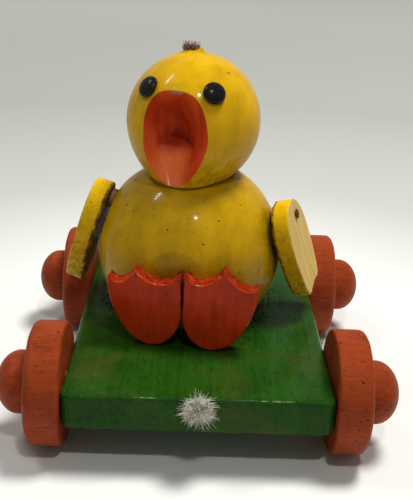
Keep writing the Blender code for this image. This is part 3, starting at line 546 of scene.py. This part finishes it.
WING_WIDTH = 22.0
WING_REACHES = (15.2, 24.4)
WING_BLUNTNESS = 2.2
NAIL_BELOW_TOP = 5.8
NAIL_BEHIND = 2.0
WING_LOW = 2.2
WING_HIGH = 8.55
WING_ROUNDING = 0.6
WING_MIDDLE_BELOW_NAIL = 11
WING_SWINGS = {"left": 12.0, "right": 0.0}
BROKEN_BELOW = {"left": 29.0, "right": 100.0}
NAIL_HEAD = 1.7
NAIL_RISE = 0.7
NAIL_SHANK = 0.9
NAIL_IN_BODY = 9.0
NAIL_BOTTOM = -WING_HIGH - GAP - NAIL_IN_BODY
WING_BITES = {"left": [(0.72, 2.2, 0.6, 0.9)], "right": [(0.62, 3.0, 0.7, 0.8), (0.70, 2.0, 0.5, 0.2)]}


def wing_outline(side, broken_below):
    """Half a super-ellipse above the widest line and a longer one below it, cut off where the tip is gone.

    The broken end's splinters are the product of two sine waves across it.
    """
    turn = np.linspace(0, math.tau, 160, endpoint=False)
    across = signed_power(np.cos(turn), 2 / WING_BLUNTNESS)
    up = signed_power(np.sin(turn), 2 / WING_BLUNTNESS)
    x = across * WING_WIDTH / 2 - side * NAIL_BEHIND
    y = NAIL_BELOW_TOP - WING_REACHES[0] + up * np.where(up > 0, *WING_REACHES)
    splinters = 0.5 + 0.5 * np.sin(x * 2.1) * np.sin(x * 0.9 + 1)
    return resample(np.column_stack([x, np.maximum(y, -broken_below + splinters)]), 0.45)


WING_GLOSS = painted_wood("worn_yellow_gloss_on_board", "#FFCE12", "#DEAC0E", "#624211",
                          (0.3, 0.3, 0.3), 0.34, "#623E0D", pits=0.42, pit_mm=1.2, wear_mm=0.4, chips=0.3,
                          pored=0.4, bump_mm=0.03, specular=0.06, coat=0.08)
tree = WING_GLOSS.node_tree
# The mark "face" grows from the rim inwards, so the mottle tears the border of the rubbed wood.
face_mark = add(tree, "Attribute", attribute_name="face").outputs["Fac"]
torn = add(tree, "Math", {0: tree.nodes["mottle"].outputs["Fac"], 1: -1.6, 2: face_mark},
           operation="MULTIPLY_ADD")
rubbed = add(tree, "MapRange", {"Value": torn.outputs[0], "From Min": -0.55, "From Max": -0.3})
# The wings hang at their own angles, so their grain is drawn on marks in mm: fine across, long along.
grain_place = add(tree, "CombineXYZ", {"X": add(tree, "Attribute", attribute_name="across").outputs["Fac"],
                                       "Y": add(tree, "Attribute", attribute_name="along").outputs["Fac"]})
grain_place = add(tree, "Mapping", {"Vector": grain_place.outputs[0], "Scale": (0.9, 0.06, 1)})
grain_lines = add(tree, "TexNoise", {"Vector": grain_place.outputs[0], "Scale": 1.0, "Detail": 4.0})
tan = add(tree, "ValToRGB", {"Fac": grain_lines.outputs["Fac"]},
          stops=[(0.3, "#BA9650"), (0.5, "#D0AC5C"), (0.7, "#DDBB6C")])
lay_over(WING_GLOSS, rubbed.outputs[0], tan.outputs[0])
RUST = painted_wood("rusty_nail_head", "#714728", "#422817", "#93663C", (0.5, 0.5, 0.5), 0.6, "#22130B")
nail_profile = [(0.0, NAIL_BOTTOM), (NAIL_SHANK, NAIL_BOTTOM), (NAIL_SHANK, 0.0), (NAIL_HEAD, 0.0)]
nail_profile += [(NAIL_HEAD * math.cos(a), NAIL_RISE * (0.4 + 0.6 * math.sin(a)))
                 for a in np.radians(np.linspace(0, 90, 8))]
nail_profile = resample(nail_profile, 0.2, closed=False)
for side_name, side in (("left", 1), ("right", -1)):
    normal = wing_out[side_name]
    along = np.cross((0, 0, 1), normal)
    along /= np.linalg.norm(along)
    upward = np.cross(normal, along)
    pivot = Matrix.Translation(wing_seat[side_name]) @ Matrix((along, upward, normal)).transposed().to_4x4()
    hang = pivot @ Matrix.Rotation(math.radians(side * WING_SWINGS[side_name]), 4, "Z")
    outline = wing_outline(side, BROKEN_BELOW[side_name])
    wing, wing_edge = slab(outline, WING_LOW, WING_HIGH, WING_ROUNDING,
                           (-side * NAIL_BEHIND, -WING_MIDDLE_BELOW_NAIL), WING_BITES[side_name])
    below_nail = -wing[:, :, 1]
    face = np.where(wing[:, :, 2] > WING_HIGH - 0.2, wing_edge + 0.5, np.clip(below_nail / 100, 0, 0.3))
    # The inner face is painted dark brown: painted shade in the gap to the body, with some dirt. The rim
    # darkens towards its bottom.
    wing_soil = np.where(wing[:, :, 2] < WING_LOW + 0.7, 1.2, 0.08 + 0.5 * np.clip(below_nail / 25, 0, 1))
    make_skin(side_name + "_hung_wing", placed(wing, hang), WING_GLOSS,
              side_name + "_wing_body", [side_name + "_wing"],
              {"edge": wing_edge, "face": face, "dirt_and_shade": wing_soil, "across": wing[:, :, 0],
               "along": wing[:, :, 1]})
    nail = turned(nail_profile, pivot @ Matrix.Translation((0, 0, WING_HIGH + GAP)), 24)
    make_skin(side_name + "_nail", nail, RUST, "chassis", [side_name + "_wing_nail"],
              {"edge": 2.0})

# Head: a turned ball, fuller round the mouth, which is carved out to a level throat edge and a hollow behind.
# Yellow gloss outside, lifted by a low hill and a drop of paint at the crest, and darker under the chin with
# dirt and painted shade. The carving is painted orange-red, with painted light on its floor and painted shade
# in its hollow, and rubbed to bare wood at its top and its lower tip.

HEAD_RADIUS = 23.0
HEAD_ABOVE_SEAT = 18.0
MUZZLE_SWELL = 3.4
MUZZLE_SPREAD = 34.0
MUZZLE_DROP = 44.0
SHOULDER_RADIUS = BODY_RADIUS + 0.6
MOUTH_HALF_ANGLE = 28.0
MOUTH_MIDDLE = -3.0
MOUTH_REACHES = (39.0, 42.5)
MOUTH_BLUNTNESS = (3.0, 1.9)
MOUTH_TO_RIGHT = (3.0, 3.6)
THROAT_HALF = 6.0
THROAT_MIDDLE = np.array([-3.3, -9.5, -6.4])
HOLLOW_MIDDLE = THROAT_MIDDLE + (0, 3.5, 4.5)
HEAD_TURN = math.radians(-16)
SEAT_SOFTNESS = 0.15
CREST_TO_NUB = np.array([3.6, 0.0])
CREST_HILL = (1.1, 3.2)  # height and width
PAINT_NUB = (1.5, 0.9)
RUBBED_TOP = 3.4
RUBBED_TIP = 1.2
FLOOR_HALF_WIDTH = 6.5


def skin(rays):
    """Distance from the head's centre to its skin: a ball, plus a bell-shaped swelling round the muzzle."""
    away = np.degrees(np.arccos(np.clip(rays @ heading(0.0, -MUZZLE_DROP), -1, 1)))
    return HEAD_RADIUS + MUZZLE_SWELL * np.exp(-(away / MUZZLE_SPREAD) ** 2)


def seated(rays):
    """The skin, cut flat over the seat and hollow round the body's shoulders.

    Along a ray the shoulders' ball starts at the smaller root of the quadratic for a line through a ball.
    """
    down = np.maximum(-rays[..., 2], 0.001)
    to_plane = (HEAD_ABOVE_SEAT - GAP) / down
    drop = HEAD_ABOVE_SEAT + BODY_BELOW_SEAT
    inside = SHOULDER_RADIUS ** 2 - drop ** 2 * (1 - down ** 2)
    to_ball = np.where(inside > 0, drop * down - np.sqrt(np.maximum(inside, 0)), 1000)
    cut = np.where(rays[..., 2] < 0, np.maximum(to_plane, to_ball), 1000)
    return least(np.array([skin(rays), cut]), SEAT_SOFTNESS)


head_place = Matrix.Translation(neck + Vector((0, 0, HEAD_ABOVE_SEAT))) @ Matrix.Rotation(HEAD_TURN, 4, "Z")
crest_low, crest_high = [np.array(corner) * 1000 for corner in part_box("crest_stub")]
crest_spot = np.array(head_place.inverted() @ Vector((crest_low + crest_high) / 2))[:2]

# The mouth's rim, seen from in front, is a super-ellipse: blunt above, pointed below.
turn = np.linspace(0, math.tau, 240, endpoint=False)
upper = np.sin(turn) > 0
power = 2 / np.where(upper, *MOUTH_BLUNTNESS)
across = signed_power(np.cos(turn), power)
lift = signed_power(np.sin(turn), power)
rim_rays = heading(MOUTH_HALF_ANGLE * across - np.where(upper, *MOUTH_TO_RIGHT) * np.abs(lift),
                   MOUTH_MIDDLE + np.where(upper, *MOUTH_REACHES) * lift)
rim = rim_rays * skin(rim_rays)[:, None]

# The ridge where the carving's sides turn into its hollow: level at the throat, arched up to the rim's top.
throat_side = np.clip(1.2 * (rim[:, 0] + 1), -THROAT_HALF, THROAT_HALF)
throat = THROAT_MIDDLE + np.column_stack([throat_side, 0 * turn, 0.3 * np.sin(turn)])
apex = rim[np.argmax(rim[:, 2])]
lower_tip = rim[np.argmin(rim[:, 2])]
throat_ends = np.column_stack([THROAT_MIDDLE[0] + THROAT_HALF * np.sign(np.cos(turn)), throat[:, 1:]])
climb = np.clip(np.sin(turn), 0, 1)[:, None]
arch = throat_ends + (apex - throat_ends) * np.concatenate([climb ** 4, climb ** 2, climb], axis=1)
ridge = np.where(upper[:, None], arch, throat)
back_ray = -heading(0.0, MOUTH_MIDDLE)
sweep = np.arccos(np.clip(rim_rays @ back_ray, -1, 1))


def past_rim(share):
    """Rays a share of the way from the rim round to the back of the head, along great circles."""
    near = np.sin((1 - share) * sweep)[:, None] * rim_rays
    far = np.sin(share * sweep)[:, None] * back_ray
    return (near + far) / np.sin(sweep)[:, None]


# Rows run from the hollow's bottom over the ridge to the rim, then over the skin to the back of the head.
# Each has its points, depth past the rim in mm, how much painted shade darkens the orange, and how much
# painted light lifts it.
roof = np.clip(4 * np.sin(turn), 0, 1)
lengths = np.linalg.norm(rim - ridge, axis=1)
head_rows = []
mouth_depth = []
hollow = []
bright = []
for share in np.linspace(0, 1, 22)[:-1]:
    ring = HOLLOW_MIDDLE + (ridge - HOLLOW_MIDDLE) * np.array([share, share ** 2, share])
    head_rows.append(ring)
    mouth_depth.append(-lengths - 1 + share)
    hollow.append(0.2 * roof + 0.5 * (1 - roof) + 0.1 * (1 - share))
    bright.append(0 * turn)
for share in np.linspace(0, 1, 24)[:-1] ** 0.9:
    head_rows.append(ridge + (rim - ridge) * share)
    mouth_depth.append(-lengths * (1 - share))
    hollow.append(0.3 * (1 - share) * roof + 0.55 * (1 - roof) * max(0.0, 1 - 4 * share))
    bright.append((1 - roof) * min(1.0, 3 * share))
for share in np.linspace(0, 1, 100) ** 1.35:
    rays = past_rim(share)
    skin_row = rays * seated(rays)[:, None]
    for spot, (height, width) in ((crest_spot, CREST_HILL), (crest_spot + CREST_TO_NUB, PAINT_NUB)):
        away = np.linalg.norm(skin_row[:, :2] - spot, axis=1) / width
        skin_row = skin_row + rays * (height * np.exp(-away ** 2) * (rays[:, 2] > 0))[:, None]
    head_rows.append(skin_row)
    mouth_depth.append(share * sweep * HEAD_RADIUS)
    hollow.append(0 * turn)
    bright.append(0 * turn)
head_rows = np.array(head_rows)
mouth_depth = np.array(mouth_depth)
floor_middle = np.exp(-((head_rows[..., 0] - THROAT_MIDDLE[0] + 1) / FLOOR_HALF_WIDTH) ** 4)
rubbed_spots = np.exp(-(np.linalg.norm(head_rows - apex, axis=-1) / RUBBED_TOP) ** 2) * (mouth_depth < 0.5)
rubbed_spots += 0.9 * np.exp(-(np.linalg.norm(head_rows - lower_tip, axis=-1) / RUBBED_TIP) ** 2)
# Painted shade and dirt: the head darkens towards its underside, under the chin.
under_chin = np.clip((-head_rows[..., 2] / HEAD_RADIUS - 0.1) / 0.6, 0, 1) * (mouth_depth > 0)
in_hollow = mouth_depth < -lengths + 0.1
HEAD_GLOSS = painted_wood("yellow_gloss_and_orange_mouth_paint", "#E3B00C", "#BC9106", "#755813",
                          (0.16, 0.16, 0.05), 0.24, "#4F3E06", pits=0.04, pit_mm=3.2, wear_mm=0.3,
                          chips=0.1, pored=0.1, bump_mm=0.05, specular=0.04, coat=0.18)
tree = HEAD_GLOSS.node_tree
depth_mark = add(tree, "Attribute", attribute_name="from_rim").outputs["Fac"]
inside = add(tree, "MapRange", {"Value": depth_mark, "From Min": -0.25, "From Max": 0.1,
                                "To Min": 1.0, "To Max": 0.0})
orange = add(tree, "ValToRGB", {"Fac": tree.nodes["streaks"].outputs["Fac"]},
             stops=[(0.35, "#C43E17"), (0.6, "#EA592B")])
# Painted shade: the carving's hollow and upper walls are painted a deep red.
soot = add(tree, "Attribute", attribute_name="hollow").outputs["Fac"]
orange = add(tree, "Mix", {0: soot, 6: orange.outputs[0], 7: linear("#752211")}, data_type="RGBA")
# 420 brush strokes per metre, so about 2.4 mm each.
strokes = add(tree, "TexNoise", {"Vector": add(tree, "TexCoord").outputs["Object"], "Scale": 420.0,
                                 "Detail": 4.0, "Roughness": 0.7, "Distortion": 1.5})
# Painted light: the mouth's floor, which faces up towards the lamps, turns a paler, stronger orange in brush
# strokes, fading towards the throat.
fresh = add(tree, "MapRange", {"Value": strokes.outputs["Fac"], "From Min": 0.35, "From Max": 0.65,
                               "To Min": 0.75, "To Max": 1.0})
bright_mark = add(tree, "Attribute", attribute_name="bright").outputs["Fac"]
fresh = add(tree, "Math", {0: fresh.outputs[0], 1: bright_mark}, operation="MULTIPLY")
orange = add(tree, "Mix", {0: fresh.outputs[0], 6: orange.outputs[2], 7: linear("#FF8A48")}, data_type="RGBA")
lay_over(HEAD_GLOSS, inside.outputs[0], orange.outputs[2])
rubbed_mark = add(tree, "Attribute", attribute_name="rubbed").outputs["Fac"]
bare_spot = add(tree, "Math", {0: strokes.outputs["Fac"], 1: rubbed_mark}, operation="ADD")
bare_spot = add(tree, "MapRange", {"Value": bare_spot.outputs[0], "From Min": 1.0, "From Max": 1.35})
lay_over(HEAD_GLOSS, bare_spot.outputs[0], linear("#B38D66"))
make_skin("carved_head", placed(head_rows, head_place), HEAD_GLOSS, "head_body", ["head"],
          {"from_rim": mouth_depth, "edge": np.abs(mouth_depth) + 0.4, "dirt_and_shade": 0.6 * under_chin + in_hollow,
           "hollow": np.array(hollow), "bright": np.array(bright) * floor_middle, "rubbed": rubbed_spots},
          crease=50)

# Eyes: two wide domed nails in black enamel, driven in until their rims rest on the skin.
# The enamel is smooth and dark, so each of the two small lamps leaves one spark in it.

EYE_RADIUS = 3.75
EYE_ROUNDING = 0.1
EYE_RIM = 0.3
EYE_DOME = 2.2
EYE_SPREAD = 35.0
EYE_RISE = 34.5
eye_profile = [(0.0, 0.0), (EYE_RADIUS - EYE_ROUNDING, 0.0), (EYE_RADIUS, EYE_ROUNDING)]
eye_profile += [(EYE_RADIUS * math.cos(a), EYE_RIM + (EYE_DOME - EYE_RIM) * math.sin(a))
                for a in np.radians(np.linspace(3, 90, 18))]
eye_profile = resample(eye_profile, 0.2, closed=False)
BLACK_ENAMEL = painted_wood("black_enamel_nail", "#161310", "#0E0C0B", "#3E362D", (0.4, 0.4, 0.4), 0.25,
                            "#2D231A", pits=0.0, chips=0.0, bump_mm=0.02, specular=0.12, coat=0.1)
for side_name, side in (("left", 1), ("right", -1)):
    ray = heading(side * EYE_SPREAD, EYE_RISE)
    seat = head_place @ Vector(ray * (float(skin(ray)) + GAP))
    outward = head_place.to_3x3() @ Vector(ray)
    eye = turned(eye_profile, frame_along(seat, outward), 48)
    make_skin(side_name + "_domed_eye", eye, BLACK_ENAMEL, "head_body", [side_name + "_eye"],
              {"edge": 3.0})

# Pull cord: a stub of twisted white cotton, glued into a drilled hole and frayed where it broke off.
# Its strands have split into locks that stand out round the hole like a pompon.


def fibres(roots, headings, lengths, thickness, curl, seed):
    """Thin three-sided strands, each starting at a root and bending steadily along its own curve.

    A strand's middle line is its root plus its heading times the distance along it, plus a bend that
    grows with the square of that distance; its ring of three points shrinks towards the tip.
    """
    draw = np.random.default_rng(seed)
    count = len(roots)
    steps = np.linspace(0, 1, 6)
    bend = draw.normal(size=(count, 3)) * curl
    line = (roots[:, None] + headings[:, None] * (lengths[:, None] * steps)[..., None]
            + bend[:, None] * (lengths[:, None] * steps ** 2)[..., None])
    sideways = np.cross(headings, draw.normal(size=(count, 3)))
    sideways /= np.linalg.norm(sideways, axis=1)[:, None]
    across = np.cross(headings, sideways)
    spin = np.arange(3) * math.tau / 3
    ring = (sideways[:, None] * np.cos(spin)[:, None] + across[:, None] * np.sin(spin)[:, None])
    radius = thickness * (1 - 0.7 * steps)
    return line[:, :, None] + ring[:, None] * radius[None, :, None, None]


def make_fibres(name, strands, material, body, replaced):
    """One piece of many strands: each strand's rings joined side by side and closed at both ends."""
    count, rings, sides = strands.shape[:3]
    one = np.arange(rings * sides).reshape(rings, sides)
    walls = np.stack([one[:-1], np.roll(one[:-1], -1, 1), np.roll(one[1:], -1, 1), one[1:]], axis=-1)
    starts = np.arange(count) * rings * sides
    faces = (walls.reshape(1, -1, 4) + starts[:, None, None]).reshape(-1, 4).tolist()
    ends = np.array([one[0][::-1], one[-1]])
    faces += (ends[None] + starts[:, None, None]).reshape(-1, 3).tolist()
    make_piece(name, strands, faces, material, body, replaced, weld=False)


def fibre_material(name, pale, dark, size_mm):
    """Dull broken fibre: pale with darker patches, no shine."""
    material, tree, shader = new_material(name)
    here = add(tree, "TexCoord").outputs["Object"]
    patches = add(tree, "TexNoise", {"Vector": here, "Scale": 1000 / size_mm, "Detail": 3.0})
    colour = add(tree, "ValToRGB", {"Fac": patches.outputs["Fac"]}, stops=[(0.38, dark), (0.62, pale)])
    tree.links.new(colour.outputs[0], shader.inputs["Base Color"])
    shader.inputs["Roughness"].default_value = 0.85
    shader.inputs["Sheen Weight"].default_value = 0.3
    return material


TUFT_LOCKS = 90
TUFT_REACH = (7.3, 6.6)
STRANDS_IN_LOCK = 15
STRAND_RADIUS = 0.13
tuft_low, tuft_high = [np.array(corner) * 1000 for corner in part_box("pull_cord_stub")]
draw = np.random.default_rng(7)
lock_turns = draw.uniform(0, math.tau, TUFT_LOCKS)
lock_leans = np.radians(90) * draw.uniform(0, 1, TUFT_LOCKS) ** 0.7
lock_reach = draw.uniform(0.72, 1.0, TUFT_LOCKS) * np.sin(lock_leans)
cord_root = np.array([0, board_low[1] - 0.1, (tuft_low[2] + tuft_high[2]) / 2])
tips = cord_root + np.column_stack([TUFT_REACH[0] * lock_reach * np.cos(lock_turns),
                                    (tuft_low[1] + 0.3 - cord_root[1]) * np.cos(lock_leans) - 0.2,
                                    TUFT_REACH[1] * lock_reach * np.sin(lock_turns)])
locks = np.repeat(np.arange(TUFT_LOCKS), STRANDS_IN_LOCK)
roots = cord_root + draw.normal(size=(len(locks), 3)) * (1.1, 0, 1.1)
spans = tips[locks] + draw.normal(size=(len(locks), 3)) * (0.5, 0.1, 0.5) - roots
span_lengths = np.linalg.norm(spans, axis=1)
reached = draw.uniform(0.5, 0.97, len(locks)) * span_lengths
COTTON = fibre_material("frayed_cotton_cord", "#FFFFF1", "#BBB19B", 1.5)
tuft = fibres(roots, spans / span_lengths[:, None], reached, STRAND_RADIUS, 0.13, 8)
tuft[..., 1] = np.clip(tuft[..., 1], tuft_low[1] + 0.02, board_low[1] - 0.05)
make_fibres("frayed_cord_end", tuft, COTTON, "chassis", ["pull_cord_stub"])

# Crest: a pinch of stiff brown fibre, glued into a hole in the crown and broken off short.
# The strands are drawn coarser than real ones, because those would be too fine to show.

CREST_STRANDS = 260
CREST_SPREAD = (2.2, 1.4)
CREST_SUNK = 3.4
CREST_STRAND_RADIUS = 0.24
crest_turns = draw.uniform(0, math.tau, CREST_STRANDS)
spread = (np.sqrt(draw.uniform(0, 1, CREST_STRANDS)) * (np.cos(crest_turns), np.sin(crest_turns))).T
crest_middle = (crest_low + crest_high) / 2
crest_root = np.array([crest_middle[0], crest_middle[1], crest_high[2] - CREST_SUNK])
crest_roots = crest_root + np.column_stack([spread * CREST_SPREAD, np.zeros(CREST_STRANDS)])
crest_ways = np.column_stack([spread * 0.4 + draw.normal(size=(CREST_STRANDS, 2)) * 0.35,
                              np.ones(CREST_STRANDS)])
crest_ways /= np.linalg.norm(crest_ways, axis=1)[:, None]
crest_rise = (1 - 0.45 * (spread ** 2).sum(axis=1)) * draw.uniform(1.4, 3.3, CREST_STRANDS)
BROWN_FIBRE = fibre_material("brown_crest_fibre", "#94652F", "#3E2410", 1.2)
crest = fibres(crest_roots, crest_ways, crest_rise, CREST_STRAND_RADIUS, 0.3, 9)
crest = np.minimum(crest, [1000, 1000, crest_high[2] - 0.02])
make_fibres("crest_fibres", crest, BROWN_FIBRE, "head_body", ["crest_stub"])

# Hidden joinery: dowels, pins and washers of bare beech and one steel screw, as the solids show them.
# They are seen only in gaps and from below, so plain wood and dull metal are enough.

BARE_BEECH = fibre_material("bare_beech", "#BB9360", "#8F6940", 2.0)
DULL_STEEL = fibre_material("dull_steel_screw", "#84827E", "#605C57", 2.0)
DULL_STEEL.node_tree.nodes["Principled BSDF"].inputs["Metallic"].default_value = 1.0
for node_name, thing in frame["nodes"].items():
    if "axle" in node_name or "washer" in node_name or "dowel" in node_name or node_name.endswith("_pin"):
        finish = BARE_BEECH
    elif node_name == "body_screw":
        finish = DULL_STEEL
    else:
        continue
    thing.data.materials.clear()
    thing.data.materials.append(finish)

# Photograph's view: from in front and above, with a long lens and turned a little.
# The toy stands on matt white paper; wall and far floor are pale only to the rays that look at them.

CAMERA_PLACE = (-4.21, -274.95, 167.46)
YAW, PITCH, ROLL = [math.radians(angle) for angle in (1.21, 22.89, 2.39)]
LENS = 61.2
ahead = Vector((math.sin(YAW) * math.cos(PITCH), math.cos(YAW) * math.cos(PITCH), -math.sin(PITCH)))
level = Vector((math.cos(YAW), -math.sin(YAW), 0))
above = level.cross(ahead)
right = level * math.cos(ROLL) + above * math.sin(ROLL)
top = above * math.cos(ROLL) - level * math.sin(ROLL)
camera = in_scene("camera", bpy.data.cameras.new("camera"))
camera.data.lens = LENS
camera.data.sensor_width = 36
camera.data.clip_start = 0.01
camera.matrix_world = (Matrix.Translation(Vector(CAMERA_PLACE) * 0.001)
                       @ Matrix((right, top, -ahead)).transposed().to_4x4())
bpy.context.scene.camera = camera
bpy.context.scene.view_settings.view_transform = "Standard"


def looked_at(tree):
    """1 for camera, glossy and transmission rays, 0 for those that would carry light to the toy."""
    path = add(tree, "LightPath").outputs
    seen = add(tree, "Math", {0: path["Is Camera Ray"], 1: path["Is Glossy Ray"]}, operation="MAXIMUM")
    seen = add(tree, "Math", {0: seen.outputs[0], 1: path["Is Transmission Ray"]}, operation="MAXIMUM")
    return seen.outputs[0]


FLOOR_HALF = 3.0  # metres, like the distances in the floor's ramps
PALE_WALL = "#B8B9B1"
floor_mesh = bpy.data.meshes.new("floor")
floor_mesh.from_pydata([(x * FLOOR_HALF, y * FLOOR_HALF, 0) for x, y in ((-1, -1), (1, -1), (1, 1), (-1, 1))],
                       [], [(0, 1, 2, 3)])
floor = in_scene("floor", floor_mesh)
WHITE_PAPER, tree, shader = new_material("matt_white_paper")
here = add(tree, "TexCoord").outputs["Object"]
away = add(tree, "VectorMath", {0: here}, operation="LENGTH").outputs["Value"]
shade = add(tree, "ValToRGB", {"Fac": away}, stops=[(0.12, "#F0F0EA"), (0.22, "#D0D0CA"), (0.45, "#B4B5AE")])
tree.links.new(shade.outputs[0], shader.inputs["Base Color"])
shader.inputs["Roughness"].default_value = 0.8
shader.inputs["Emission Color"].default_value = linear(PALE_WALL)
far = add(tree, "Math", {0: away, 1: FLOOR_HALF}, operation="DIVIDE")
glow = add(tree, "ValToRGB", {"Fac": far.outputs[0]},
           stops=[(0.08, 0.0), (0.17, 0.27), (0.33, 0.6), (0.67, 0.79), (1.0, 0.86)])
glow = add(tree, "Math", {0: glow.outputs[0], 1: looked_at(tree)}, operation="MULTIPLY")
tree.links.new(glow.outputs[0], shader.inputs["Emission Strength"])
floor_mesh.materials.append(WHITE_PAPER)

world = bpy.data.worlds.new("studio")
bpy.context.scene.world = world
world.use_nodes = True
tree = world.node_tree
sky = add(tree, "Mix", {0: looked_at(tree), 6: (0.14, 0.14, 0.14, 1.0), 7: linear(PALE_WALL)},
          data_type="RGBA")
tree.links.new(sky.outputs[2], tree.nodes["Background"].inputs["Color"])
tree.nodes["Background"].inputs["Strength"].default_value = 1.0


def soft_lamp(name, place, target, size, watts, glints=True, lean=0.0):
    """An oblong area lamp at a place in mm, facing a target; its size is in metres.

    Without glints no gloss mirrors it.
    """
    lamp = bpy.data.lights.new(name, "AREA")
    lamp.shape = "RECTANGLE"
    lamp.size, lamp.size_y = size
    lamp.energy = watts
    thing = in_scene(name, lamp)
    thing.visible_glossy = glints
    away = Vector(place) - Vector(target)
    thing.matrix_world = (Matrix.Translation(Vector(place) * 0.001)
                          @ away.to_track_quat("Z", "Y").to_matrix().to_4x4()
                          @ Matrix.Rotation(math.radians(lean), 4, "Z"))


soft_lamp("key", (270, 125, 985), (0, 0, 40), (0.26, 0.26), 9.4, glints=False)
soft_lamp("left_lamp", (-310, 58, 560), (0, 0, 50), (0.16, 0.03), 0.6, lean=-45)
soft_lamp("front_lamp", (67, -330, 585), (0, 0, 50), (0.035, 0.035), 0.68)
